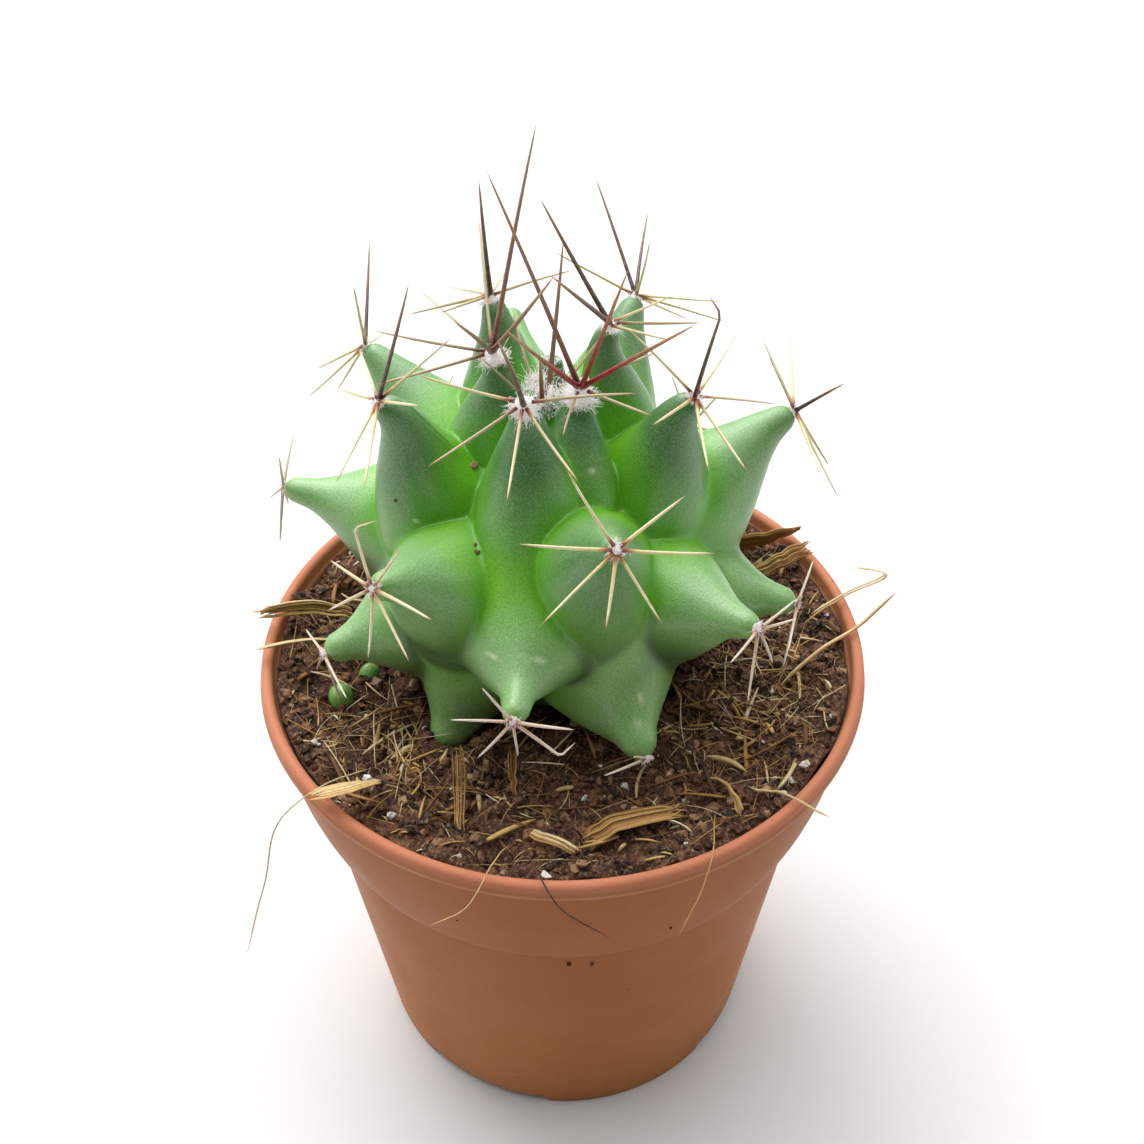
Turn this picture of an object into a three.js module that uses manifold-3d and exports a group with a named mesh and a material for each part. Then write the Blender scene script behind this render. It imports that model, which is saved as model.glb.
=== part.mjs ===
// Potted thelocactus flavus: a small globe cactus with long pointed tubercles in a 5.5 cm nursery pot.
// Millimetres, +Z up, origin under the pot at the centre of its foot.
import * as THREE from 'three';
import { ConvexHull } from 'three/addons/math/ConvexHull.js';
import { mergeVertices } from 'three/addons/utils/BufferGeometryUtils.js';
import Module from 'manifold-3d';

const wasm = await Module();
wasm.setup();

// Pot: thin blow-formed nursery pot, measured at the rim
const POT_HEIGHT = 48.6;
const RIM_RADIUS = 27.5;
const LIP_HEIGHT = 1.3;
const WALL = 0.9;
const BAND_BOTTOM = 34.4;
const BAND_RADIUS = 24.6;
const BAND_BULGE = [[25.4, 37], [26.1, 40], [26.6, 43.5]];
const STEP_RADIUS = 23.66;
const FOOT_RADIUS = 20.0;
const FOOT_HEIGHT = 1.4;
const FOOT_WIDTH = 2.0;
const POT_SIDES = 48;
const NOTCH_HEIGHT = 0.9;
const NOTCH_AZIMUTHS = [245, 335, 65, 155];
const NOTCH_HALF_ANGLE = 20;
const DRAIN_RADIUS = 2.6;
const DRAIN_CIRCLE = 12;

// Soil: peat with bark, 2 mm below the rim
const SOIL_TOP = 46.4;
const GAP = 0.35;
const SOIL_RINGS = [3, 6.5, 9.5, 12, 14.5, 17, 19.5, 22];

// Plant: tubercles on one golden-angle spiral about an upright axis
const BODY_CENTRE = new THREE.Vector3(-0.9, 3.2, 57);
const CORE_RADIUS = 12.6;
const ROOT_REACH = 24;
const ROOT_HALF_WIDTH = 4.2;
const FIRST_AZIMUTH = 310.3;
const DIVERGENCE = -138.15;
const YOUNGEST = -5;
const OLDEST = 28;
const ABSENT = [26];
const SLIDE_END = 0.88;
const RIB_SPAN = 13;
const SADDLE_SOFTNESS = 2.0;
const FURROW_SOFTNESS = 0.3;
const LOWER_STRETCH = 1.2;
// By age on the spiral: [age, value]
const TIP_FROM_AXIS = [[-6, 0.9], [-3, 1.8], [0, 3.6], [2, 5.8], [5, 12.1], [8, 18.5], [12, 23.4],
  [16, 22.8], [20, 21.5], [24, 17], [30, 15]];
const TIP_HEIGHT = [[-6, 74], [-3, 74.6], [0, 76], [2, 78.2], [5, 77], [8, 73.1], [12, 66.2],
  [16, 59.3], [20, 52.7], [24, 45.9], [30, 43]];
const BASE_HALF_WIDTH = [[-6, 1.3], [-1, 2.1], [0, 3.2], [3, 4.3], [5, 4.7], [8, 5.3], [11, 5.7],
  [13, 5.9], [16, 7], [19, 6.6], [21, 6.8], [24, 6.4], [30, 5.5]];
const TIP_HALF_WIDTH = [[-6, 0.7], [0, 0.85], [5, 0.9], [8, 0.95], [13, 0.95], [16, 1], [20, 1.15], [24, 1.4],
  [30, 1.4]];
const BULGE = [[-6, 1.5], [5, 1.7], [11, 1.6], [16, 1.3], [21, 1.5], [30, 1.5]];
// The neck's height as a share of the tubercle's, and the share of the narrowing that ends there
const NECK = [[-6, 0.92], [9, 0.92], [11, 0.86], [13, 0.86], [16, 0.8], [21, 0.85], [30, 0.85]];
const NECK_SHARE = [[-6, 0.6], [9, 0.6], [11, 0.7], [13, 0.7], [16, 0.85], [21, 0.7], [30, 0.7]];
// Outline exponent of the base: 2 is an ellipse, less is a rhomb with rounded corners
const CORNER = [[-6, 2], [1, 2], [3, 1.5], [5, 2], [10, 2], [13, 1.8], [16, 1.6], [30, 1.7]];
const BASE_ELEVATION = [[-6, 82], [0, 64], [3, 55], [6, 46], [8, 34], [11, 23], [16, 4], [19, -12], [24, -26]];
// Where one tubercle grew aside: [degrees round, outwards, up]
const TIP_NUDGE = {
  3: [0, 0, 0.2], 4: [3, 0, 0.2], 5: [0, 0, -0.7], 6: [0, 0, 0.9], 7: [-1, -0.5, 0], 8: [0.5, 0, -0.8],
  11: [3, 0, 0.6], 12: [8, 0, 1.5], 13: [0, 0, -1.4], 14: [0, 0.5, 0], 15: [14, -1.5, -3], 16: [3, 0, -0.3],
  19: [0, 0, -1.3], 21: [3, 0.4, -0.3],
};
// Where one base grew aside: [degrees round, degrees up, width factor, downward stretch, upward stretch]
const BASE_NUDGE = {
  0: [-18, 0, 1, 1.3, 1], 1: [0, 6, 1.1, 1.2, 1], 3: [0, 4, 1, 2.1, 1], 5: [5, -4.5, 1.15, 1.05, 1],
  6: [-7, -9, 1.08, 1.45, 1], 8: [0, -3, 1.02, 1.5, 1], 10: [-12, 0, 1.05, 1.6, 1], 11: [-5, -7.5, 1.12, 1.1, 1],
  13: [4, -6, 1, 1.6, 1], 14: [0, 0, 1.05, 1.3, 1], 16: [-3.5, -2, 1.05, 0.42, 1.35], 19: [0, -4, 1.04, 1.6, 1],
  21: [4, -6, 1, 1, 1.6], 24: [-7, -3, 0.9, 1.2, 1.2],
};

// Areoles: a wool cushion on each tip, with its spines
const BARE = [12, 23, 24, 25, 27, 28];
const CUSHION_LIFT = 0.3;
const CROWN_LIFT = 0.65;
const CUSHION_THICK = 0.95;
const CUSHION_ANGLE = 3.4;
const CROWN_ANGLE = 6.6;
const RADIAL_ROOT = 0.27;
const CENTRAL_ROOT = 0.36;
// Spines root round the middle of the cushion: [height over the tip, distance from its middle]
const RADIAL_SEAT = [0.4, 0.8];
const CENTRAL_SEAT = [0.75, 0.22];
const CROWN_SEAT = [0.4, 0.3];
// Spines as [clock degrees from the crown side, lean from the tubercle's axis, length]
const CENTRALS = {
  0: [[350, 38, 18], [205, 18, 16.5], [172, 35, 15], [265, 42, 14]],
  1: [[305, 34, 18], [80, 48, 12], [40, 50, 14]],
  2: [[0, 43, 14.5], [335, 61, 13]],
  3: [[160, 18, 15]],
  4: [[15, 37, 12]],
  5: [[305, 30, 12.5]],
  6: [[25, 50, 12.5]],
  7: [[95, 38, 12], [145, 40, 11]],
  9: [[275, 48, 10.5]],
  10: [[310, 53, 8]],
};
const RADIALS = {
  0: [[168, 77, 6], [95, 80, 6.5], [235, 82, 6]],
  1: [[228, 80, 11], [195, 83, 10.5], [260, 67, 13.5], [150, 84, 9]],
  2: [[160, 88, 9], [190, 90, 8.5], [285, 70, 9.5], [130, 92, 8]],
  3: [[272, 86, 8], [75, 84, 8], [214, 82, 8.5], [172, 82, 9], [141, 80, 8.5]],
  4: [[50, 86, 9.5], [75, 84, 8], [344, 80, 10], [215, 86, 8], [180, 86, 8]],
  5: [[2, 80, 7], [95, 86, 9], [136, 88, 8], [284, 77, 8.5], [250, 80, 8.5], [224, 78, 8]],
  6: [[18, 79, 8], [63, 76, 7], [242, 95, 6.5], [275, 90, 7], [130, 78, 8], [112, 82, 9]],
  7: [[338, 73, 10], [296, 86, 9.5], [190, 87, 9], [240, 85, 8], [50, 84, 8]],
  8: [[281, 83, 7], [105, 86, 7], [61, 86, 6], [238, 83, 7.5], [198, 84, 5.5], [160, 85, 6], [333, 82, 6.5]],
  9: [[22, 70, 9], [80, 84, 6.5], [148, 88, 7], [185, 92, 7.5], [235, 86, 7]],
  10: [[81, 73, 8], [50, 84, 6.5], [240, 92, 8], [265, 92, 7.5], [180, 90, 7], [0, 84, 6]],
  11: [[275, 87, 4], [324, 84, 4.5], [27, 81, 4.5], [226, 87, 4.5], [160, 86, 5], [124, 84, 6], [85, 84, 6]],
  13: [[85, 85, 4], [110, 86, 4], [262, 80, 4], [208, 86, 5.5], [165, 86, 3.5]],
  14: [[20, 84, 5], [60, 86, 5.5], [183, 92, 6.5], [215, 92, 6.5], [300, 84, 5]],
  16: [[330, 81, 4], [271, 86, 4.5], [213, 86, 4.5], [173, 86, 3], [89, 84, 4.5], [125, 85, 4]],
  18: [[320, 86, 4.5], [274, 88, 6], [235, 88, 5.5], [80, 84, 5]],
  19: [[254, 84, 5.5], [215, 78, 5], [89, 90, 6], [160, 86, 4.5]],
  21: [[330, 80, 3.5], [280, 80, 4]],
  22: [[330, 80, 4], [30, 80, 4], [85, 84, 4], [280, 84, 4]],
};
// On the far side, where the tubercles turn away: the same star, a little uneven
const STAR_CLOCKS = [330, 30, 85, 145, 185, 235, 280];
const STAR_LEAN = 84;
const STAR_LENGTH = 5;
const CROWN_SPINES = [[355, 14, 14], [130, 30, 11], [30, 40, 8], [290, 42, 8], [215, 34, 7]];

// Loose straws and fibres: [width, thickness, points], height above the soil when the point has an S
const STRAWS = {
  stick_front_left: [1.1, 0.5, [[-8.2, -21.3, 0.55, 'S'], [-8.4, -18.2, 3.1, 'S'], [-8.5, -15.6, 5, 'S']]],
  stick_front_middle: [0.7, 0.5, [[-3.9, -17.6, 0.55, 'S'], [-4.2, -15.9, 2.2, 'S'], [-4, -14.4, 4, 'S']]],
  bark_curl: [1.2, 0.5, [[1.6, -22.4, 0.95, 'S'], [4.8, -21.2, 1.9, 'S'], [10.6, -18.4, 1, 'S']]],
  straw_front: [0.6, 0.4, [[-3, -20.8, 0.65, 'S'], [-0.8, -23.2, 1.6, 'S'], [1.5, -24.6, 49.3]]],
  straw_front_right: [0.6, 0.4, [[12.6, -14.6, 0.7, 'S'], [14, -17.2, 0.9, 'S'], [14.8, -19.8, 0.75, 'S']]],
  fibre_right_long: [0.6, 0.4, [[19.2, -5, 0.7, 'S'], [23, -2.4, 1.9, 'S'], [27.1, 0.9, 49.2], [31.1, 3.4, 51.5]]],
  fibre_right_loop: [0.8, 0.5, [[22.6, 3.2, 0.9, 'S'], [26.5, 4.9, 49.5], [30.5, 6.4, 50.7], [27.7, 7.9, 50.5]]],
  straw_back_right_a: [1.4, 0.6, [[16.6, 14.4, 0.8, 'S'], [19.6, 13.6, 2.4, 'S'], [23.6, 14, 50.2]]],
  straw_back_right_b: [1.2, 0.6, [[18.6, 9.6, 0.8, 'S'], [21.2, 10.2, 2, 'S'], [24.4, 11.8, 49.7]]],
  straw_left_a: [1, 0.5, [[-20, 5, 0.9, 'S'], [-23.6, 3.2, 2.9, 'S'], [-28.7, 1.2, 50.5]]],
  straw_left_b: [0.8, 0.5, [[-20, 1, 0.9, 'S'], [-23.4, -1.2, 2.7, 'S'], [-27.9, -2.7, 49.9]]],
  straw_rim_left: [0.9, 0.4, [[-15, -16.8, 1, 'S'], [-17, -18.8, 3.2, 'S'], [-20.6, -19.7, 50]]],
  hair_left_hanging: [0.4, 0.4, [[-16, -15.6, 1.8, 'S'], [-19, -17.9, 49.8], [-23, -20.1, 47.9],
    [-26, -19.8, 38], [-30.4, -16.4, 22.5]]],
  fibre_front_gold: [0.5, 0.4, [[-4.2, -22.4, 1.4, 'S'], [-5.4, -25.9, 49.5], [-7.3, -28.5, 47.7],
    [-10.4, -27.7, 43.8]]],
  fibre_front_dark: [0.4, 0.3, [[-3, -22.6, 1.6, 'S'], [-1.9, -26.4, 49.4], [0, -28.7, 47.6], [3.9, -28.4, 43.2]]],
  hair_front_right: [0.4, 0.3, [[12.4, -20.6, 1.8, 'S'], [12, -24.3, 49.3], [11, -27.1, 48.2],
    [9.3, -29.2, 44.7]]],
  fibre_rim_back: [0.5, 0.4, [[1.6, 21.4, 1, 'S'], [2.6, 26, 49.4], [3.4, 30, 48.5]]],
  fibre_rim_right: [0.4, 0.3, [[15.6, -17.4, 1.2, 'S'], [18.4, -18.7, 49.2], [21.8, -20.7, 48.7]]],
};
const STRAW_STEPS = 6;

// Finish by eye
const TERRACOTTA = { color: 0xa8623f, roughness: 0.42, metalness: 0 };
const PEAT = { color: 0x46332a, roughness: 0.95, metalness: 0 };
const FLESH = { color: 0x4f8f4a, roughness: 0.5, metalness: 0 };
const SPINE = { color: 0xcfae72, roughness: 0.6, metalness: 0 };
const STRAW = { color: 0xbf9a5c, roughness: 0.8, metalness: 0 };

const UP = new THREE.Vector3(0, 0, 1);
const rad = THREE.MathUtils.degToRad;

function between(table, x) {
  if (x <= table[0][0]) return table[0][1];
  for (let i = 1; i < table.length; i++) {
    const [x1, y1] = table[i];
    const [x0, y0] = table[i - 1];
    if (x <= x1) return y0 + (y1 - y0) * (x - x0) / (x1 - x0);
  }
  return table[table.length - 1][1];
}

function smooth(x) {
  const t = Math.min(1, Math.max(0, x));
  return t * t * (3 - 2 * t);
}

function uneven(i, j) {
  const s = Math.sin(i * 12.9898 + j * 78.233) * 43758.5453;
  return s - Math.floor(s);
}

function direction(azimuth, elevation) {
  return new THREE.Vector3(Math.cos(elevation) * Math.cos(azimuth),
    Math.cos(elevation) * Math.sin(azimuth), Math.sin(elevation));
}

// Manifold keeps a solid's shared corners; both ways only positions are carried
function toSolid(geometry) {
  const bare = new THREE.BufferGeometry();
  bare.setAttribute('position', geometry.getAttribute('position').clone());
  if (geometry.index) bare.setIndex(geometry.index.clone());
  const merged = mergeVertices(bare, 1e-4);
  const mesh = new wasm.Mesh({
    numProp: 3,
    vertProperties: new Float32Array(merged.getAttribute('position').array),
    triVerts: new Uint32Array(merged.index.array),
  });
  return new wasm.Manifold(mesh);
}

// Joined solids lose the slivers thinner than this
const SMALLEST = 0.04;

function fromSolid(joined) {
  const solid = joined.simplify(SMALLEST);
  const { vertProperties, triVerts, numProp } = solid.getMesh();
  const count = vertProperties.length / numProp;
  const position = new Float32Array(count * 3);
  for (let i = 0; i < count; i++) {
    for (let k = 0; k < 3; k++) position[i * 3 + k] = vertProperties[i * numProp + k];
  }
  const geometry = new THREE.BufferGeometry();
  geometry.setAttribute('position', new THREE.BufferAttribute(position, 3));
  geometry.setIndex(new THREE.BufferAttribute(new Uint32Array(triVerts), 1));
  return geometry;
}

function largest(solid) {
  return solid.decompose().reduce((best, one) => (one.volume() > best.volume() ? one : best));
}

function node(name, geometry, finish) {
  const mesh = new THREE.Mesh(geometry, new THREE.MeshStandardMaterial({ ...finish, flatShading: true }));
  mesh.name = name;
  return mesh;
}

function fromTriangles(points, triangles) {
  const geometry = new THREE.BufferGeometry();
  geometry.setAttribute('position', new THREE.Float32BufferAttribute(points.flatMap(p => [p.x, p.y, p.z]), 3));
  geometry.setIndex(triangles.flat());
  return geometry;
}

// One tubercle: its tip, its base's direction and a flat chart of directions about that base
function tubercle(age, grow) {
  const [turn, out, rise] = TIP_NUDGE[age] ?? [0, 0, 0];
  const azimuth = rad(FIRST_AZIMUTH + DIVERGENCE * age + turn);
  const fromAxis = between(TIP_FROM_AXIS, age) + out;
  const tip = new THREE.Vector3(fromAxis * Math.cos(azimuth), fromAxis * Math.sin(azimuth),
    between(TIP_HEIGHT, age) + rise - BODY_CENTRE.z);
  const reach = tip.length();
  const aim = tip.clone().normalize();
  const elevation = Math.asin(aim.z);
  const [roundBy, upBy, widen, lower, upper] = BASE_NUDGE[age] ?? [0, 0, 1, LOWER_STRETCH, 1];
  const baseElevation = age < 0 ? elevation - rad(3) : rad(between(BASE_ELEVATION, age) + upBy);
  const baseAzimuth = azimuth + rad(roundBy);
  const base = direction(baseAzimuth, baseElevation);
  const east = new THREE.Vector3(-Math.sin(baseAzimuth), Math.cos(baseAzimuth), 0);
  const north = base.clone().cross(east);
  const width = between(BASE_HALF_WIDTH, age) * widen;
  const tipWidth = Math.min(between(TIP_HALF_WIDTH, age), width * 0.7);
  const one = {
    age, aim, base, east, north, lower, reach: reach + grow, width: width + grow, tipWidth: tipWidth + grow,
    bulge: between(BULGE, age), corner: between(CORNER, age), neck: between(NECK, age),
    neckShare: between(NECK_SHARE, age),
  };
  const shift = chart(one, aim);
  one.shift = shift;
  one.upper = Math.max(upper, (Math.hypot(...shift) * 15.5 * 1.05 + tipWidth) / width);
  return one;
}

function chart(one, d) {
  const x = d.dot(one.east);
  const y = d.dot(one.north);
  const h = Math.hypot(x, y) + 1e-9;
  const angle = Math.acos(THREE.MathUtils.clamp(d.dot(one.base), -1, 1));
  return [x / h * angle, y / h * angle];
}

// How far the tubercle reaches from the body's centre along d. Its cross-section is a rounded rhomb
// at the base and narrows to a circle at the neck, while its centre slides to the tip's direction.
const LEVELS = 26;
function reachAlong(one, d, core) {
  if (d.dot(one.base) < -0.2) return core - 5;
  const [u, v] = chart(one, d);
  const height = one.reach - core;
  let result = -1;
  let before = null;
  for (let i = 0; i < LEVELS; i++) {
    const h = 1 - (1 - i / (LEVELS - 1)) ** 1.6;
    const radius = core + h * height;
    const slide = smooth(h / SLIDE_END);
    const left = (1 - h) * height;
    const necking = smooth(h / one.neck);
    const share = one.neckShare * (1 - necking) + (1 - one.neckShare) * (1 - h ** one.bulge);
    let width = one.tipWidth + (one.width - one.tipWidth) * share;
    if (left < one.tipWidth) width *= Math.sqrt(Math.max(1e-6, 1 - ((one.tipWidth - left) / one.tipWidth) ** 2));
    const du = Math.abs(u - one.shift[0] * slide);
    const dv = v - one.shift[1] * slide;
    const stretch = dv < 0 ? 1 + (one.lower - 1) * (1 - h) : 1 + (one.upper - 1) * (1 - h);
    const power = 2 + (one.corner - 2) * (1 - h);
    const away = (du ** power + Math.abs(dv / stretch) ** power + 1e-12) ** (1 / power);
    const outside = away * radius / width - 1;
    if (i === 0) {
      result = outside < 0 ? radius : core - 3 * Math.min(outside, 1.5);
    } else if (outside < 0) {
      result = radius;
    } else if (before.outside < 0) {
      result = before.radius + (radius - before.radius) * -before.outside / (outside - before.outside);
    }
    before = { outside, radius };
  }
  return result;
}

function plantForm(grow) {
  const ones = [];
  for (let age = YOUNGEST; age <= OLDEST; age++) {
    if (!ABSENT.includes(age)) ones.push(tubercle(age, grow));
  }
  return { ones, core: CORE_RADIUS + grow, grow };
}

function rootAlong(form, d) {
  const across = Math.acos(THREE.MathUtils.clamp(-d.z, -1, 1));
  if (across > 1.2) return form.core - 5;
  const width = (ROOT_HALF_WIDTH + form.grow) / Math.max(across, 1e-3);
  return Math.min(ROOT_REACH + form.grow, width);
}

function softened(reaches, softness) {
  const most = Math.max(...reaches);
  let sum = 0;
  for (const r of reaches) sum += Math.exp((r - most) / softness);
  return most + softness * Math.log(sum);
}

// Tubercles 13 apart stand in one rib and join in a soft saddle; between ribs the furrows are sharp.
// The flesh is the softened union of the ribs, the core, its lower swelling and the root.
function bodyRadius(form, d) {
  const reaches = [form.core + 1.6 * smooth((-0.2 - d.z) / 0.4), rootAlong(form, d)];
  const ribs = Array.from({ length: RIB_SPAN }, () => []);
  for (const one of form.ones) ribs[(one.age + RIB_SPAN) % RIB_SPAN].push(reachAlong(one, d, form.core));
  for (const rib of ribs) reaches.push(softened(rib, SADDLE_SOFTNESS));
  return softened(reaches, FURROW_SOFTNESS);
}

// Directions: each tip with rings about it, and an even spread between them
const RINGS = [[1.9, 6], [3.4, 8], [5.6, 9], [9, 10], [13, 12]];
const FILL = 1500;
const FILL_CLEAR = 14.5;
function bodyDirections(form) {
  const found = [];
  const apart = Math.cos(rad(1.55));
  const offer = d => {
    if (found.every(f => f.dot(d) < apart)) found.push(d);
  };
  for (const one of form.ones) offer(one.aim.clone());
  for (const [angle, count] of RINGS) {
    for (const one of form.ones) {
      const side = new THREE.Vector3().crossVectors(one.aim, UP).normalize();
      const start = one.aim.clone().applyAxisAngle(side, rad(angle));
      for (let i = 0; i < count; i++) {
        const d = start.clone().applyAxisAngle(one.aim, (i + 0.5) * 2 * Math.PI / count);
        const nearer = form.ones.some(other => other !== one && other.aim.dot(d) > one.aim.dot(d) + 1e-6);
        if (!nearer) offer(d);
      }
    }
  }
  const clear = Math.cos(rad(FILL_CLEAR));
  for (let i = 0; i < FILL; i++) {
    const z = 1 - (2 * i + 1) / FILL;
    const d = direction(i * 2.39996323, Math.asin(z));
    if (form.ones.every(one => one.aim.dot(d) < clear)) offer(d);
  }
  return found;
}

function bodyGeometry(form, directions) {
  const points = directions.map(d => d.clone().multiplyScalar(bodyRadius(form, d)).add(BODY_CENTRE));
  const hull = new ConvexHull().setFromPoints(directions);
  const index = new Map(directions.map((d, i) => [d, i]));
  const triangles = hull.faces.map(face => {
    const corners = [];
    let edge = face.edge;
    do {
      corners.push(index.get(edge.head().point));
      edge = edge.next;
    } while (edge !== face.edge);
    return corners;
  });
  return fromTriangles(points, triangles);
}

// Wool cushion: a thin cap that follows the tip, with the flesh under it
function cushionGeometry(form, aim, angle, thick, sectors, rings) {
  const side = new THREE.Vector3().crossVectors(aim, Math.abs(aim.z) > 0.999 ? new THREE.Vector3(1, 0, 0) : UP).normalize();
  const point = (ring, k, outer) => {
    const share = ring / rings;
    const d = aim.clone().applyAxisAngle(side, rad(angle) * share).applyAxisAngle(aim, k * 2 * Math.PI / sectors);
    const lift = outer ? thick * (1 - 0.5 * share * share) : 0;
    return d.multiplyScalar(bodyRadius(form, d) + lift).add(BODY_CENTRE);
  };
  const points = [point(0, 0, false), point(0, 0, true)];
  for (let ring = 1; ring <= rings; ring++) {
    for (let k = 0; k < sectors; k++) points.push(point(ring, k, false), point(ring, k, true));
  }
  const at = (ring, k, outer) => 2 + ((ring - 1) * sectors + k % sectors) * 2 + (outer ? 1 : 0);
  const triangles = [];
  for (let k = 0; k < sectors; k++) {
    triangles.push([1, at(1, k, true), at(1, k + 1, true)], [0, at(1, k + 1, false), at(1, k, false)]);
    for (let ring = 1; ring < rings; ring++) {
      const [a, b, c, d] = [at(ring, k, true), at(ring + 1, k, true), at(ring + 1, k + 1, true), at(ring, k + 1, true)];
      triangles.push([a, b, c], [a, c, d]);
      triangles.push([a - 1, c - 1, b - 1], [a - 1, d - 1, c - 1]);
    }
    const [a, b] = [at(rings, k, true), at(rings, k + 1, true)];
    triangles.push([a, a - 1, b - 1], [a, b - 1, b]);
  }
  return fromTriangles(points, triangles);
}

function spineGeometry(tip, aim, [clock, lean, length], rootRadius, [lift, spread]) {
  const up = UP.clone().addScaledVector(aim, -aim.z).normalize();
  const right = up.clone().cross(aim);
  const along = aim.clone().multiplyScalar(Math.cos(rad(lean)))
    .addScaledVector(up, Math.sin(rad(lean)) * Math.cos(rad(clock)))
    .addScaledVector(right, Math.sin(rad(lean)) * Math.sin(rad(clock)));
  const cone = new THREE.ConeGeometry(rootRadius, length, 3, 1);
  cone.translate(0, length / 2, 0);
  cone.applyQuaternion(new THREE.Quaternion().setFromUnitVectors(new THREE.Vector3(0, 1, 0), along));
  const seat = along.clone().addScaledVector(aim, -along.dot(aim)).setLength(spread)
    .addScaledVector(aim, lift).add(tip);
  cone.translate(seat.x, seat.y, seat.z);
  return cone;
}

function unevenStar(age) {
  return STAR_CLOCKS.map((clock, i) => [
    clock + 14 * (uneven(age, i) - 0.5),
    STAR_LEAN + 6 * (uneven(age, i + 20) - 0.5),
    STAR_LENGTH * (0.85 + 0.3 * uneven(age, i + 40)),
  ]);
}

function areoleGeometry(form, one) {
  const { age, aim } = one;
  let solid = toSolid(cushionGeometry(form, aim, CUSHION_ANGLE, CUSHION_THICK, 8, 2));
  const tip = aim.clone().multiplyScalar(one.reach - form.grow).add(BODY_CENTRE);
  const centrals = CENTRALS[age] ?? [];
  const radials = RADIALS[age] ?? unevenStar(age);
  for (const spine of centrals) solid = solid.add(toSolid(spineGeometry(tip, aim, spine, CENTRAL_ROOT, CENTRAL_SEAT)));
  for (const spine of radials) solid = solid.add(toSolid(spineGeometry(tip, aim, spine, RADIAL_ROOT, RADIAL_SEAT)));
  return fromSolid(solid);
}

function crownGeometry(form) {
  const aim = new THREE.Vector3(-0.045, -0.045, 1).normalize();
  let solid = toSolid(cushionGeometry(form, aim, CROWN_ANGLE, 1.1, 12, 3));
  const tip = aim.clone().multiplyScalar(bodyRadius(form, aim)).add(BODY_CENTRE);
  for (const spine of CROWN_SPINES) solid = solid.add(toSolid(spineGeometry(tip, aim, spine, RADIAL_ROOT, CROWN_SEAT)));
  return fromSolid(solid);
}

// Inside radius of the pot at a height, for the wall and for the soil that fills it
function potInside(z) {
  return between([[2.4, FOOT_RADIUS - WALL - 0.9], [3.4, FOOT_RADIUS - WALL + 0.1],
    [BAND_BOTTOM - 0.5, STEP_RADIUS - WALL], [BAND_BOTTOM + 0.3, BAND_RADIUS - WALL + 0.1],
    [POT_HEIGHT - LIP_HEIGHT, RIM_RADIUS - 1.4]], z);
}

function potGeometry() {
  const lipBottom = POT_HEIGHT - LIP_HEIGHT;
  const profile = [
    [0, FOOT_HEIGHT], [FOOT_RADIUS - FOOT_WIDTH - 0.5, FOOT_HEIGHT], [FOOT_RADIUS - FOOT_WIDTH, 0],
    [FOOT_RADIUS - 0.1, 0], [FOOT_RADIUS, 0.4], [STEP_RADIUS, BAND_BOTTOM - 0.8], [BAND_RADIUS, BAND_BOTTOM],
    ...BAND_BULGE, [RIM_RADIUS - 0.5, lipBottom - 0.2], [RIM_RADIUS + 0.1, lipBottom], [RIM_RADIUS, POT_HEIGHT - 0.5],
    [RIM_RADIUS - 0.3, POT_HEIGHT - 0.1], [RIM_RADIUS - 0.6, POT_HEIGHT], [RIM_RADIUS - 0.95, POT_HEIGHT - 0.2],
    [RIM_RADIUS - 1.1, POT_HEIGHT - 0.6], [potInside(lipBottom), lipBottom],
    [potInside(BAND_BOTTOM + 0.3), BAND_BOTTOM + 0.3], [potInside(BAND_BOTTOM - 0.5), BAND_BOTTOM - 0.5],
    [potInside(3.4), 3.4], [potInside(2.4), 2.4], [0, 2.4],
  ].map(([x, y]) => new THREE.Vector2(x, y));
  const lathe = new THREE.LatheGeometry(profile, POT_SIDES);
  lathe.rotateX(Math.PI / 2);
  let pot = toSolid(lathe);
  for (const azimuth of NOTCH_AZIMUTHS) pot = pot.subtract(toSolid(notchGeometry(azimuth)));
  for (const azimuth of NOTCH_AZIMUTHS) {
    const hole = new THREE.CylinderGeometry(DRAIN_RADIUS, DRAIN_RADIUS, 6, 12);
    hole.rotateX(Math.PI / 2);
    const d = direction(rad(azimuth), 0);
    hole.translate(d.x * DRAIN_CIRCLE, d.y * DRAIN_CIRCLE, 2);
    pot = pot.subtract(toSolid(hole));
  }
  return fromSolid(pot);
}

function notchGeometry(azimuth) {
  const inner = FOOT_RADIUS - FOOT_WIDTH - 1.5;
  const outer = FOOT_RADIUS + 2;
  const from = rad(azimuth - NOTCH_HALF_ANGLE);
  const to = rad(azimuth + NOTCH_HALF_ANGLE);
  const shape = new THREE.Shape();
  shape.absarc(0, 0, outer, from, to, false);
  shape.absarc(0, 0, inner, to, from, true);
  shape.closePath();
  const geometry = new THREE.ExtrudeGeometry(shape, { depth: NOTCH_HEIGHT + 1, bevelEnabled: false, curveSegments: 4 });
  geometry.translate(0, 0, -1);
  return geometry;
}

function soilHeight(x, y) {
  return SOIL_TOP + 0.4 * Math.sin(0.62 * x + 1.3) * Math.cos(0.55 * y + 0.4)
    + 0.28 * Math.sin(1.05 * x - 0.7 * y) + 0.22 * Math.cos(0.9 * y + 0.8 * x + 2);
}

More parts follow.
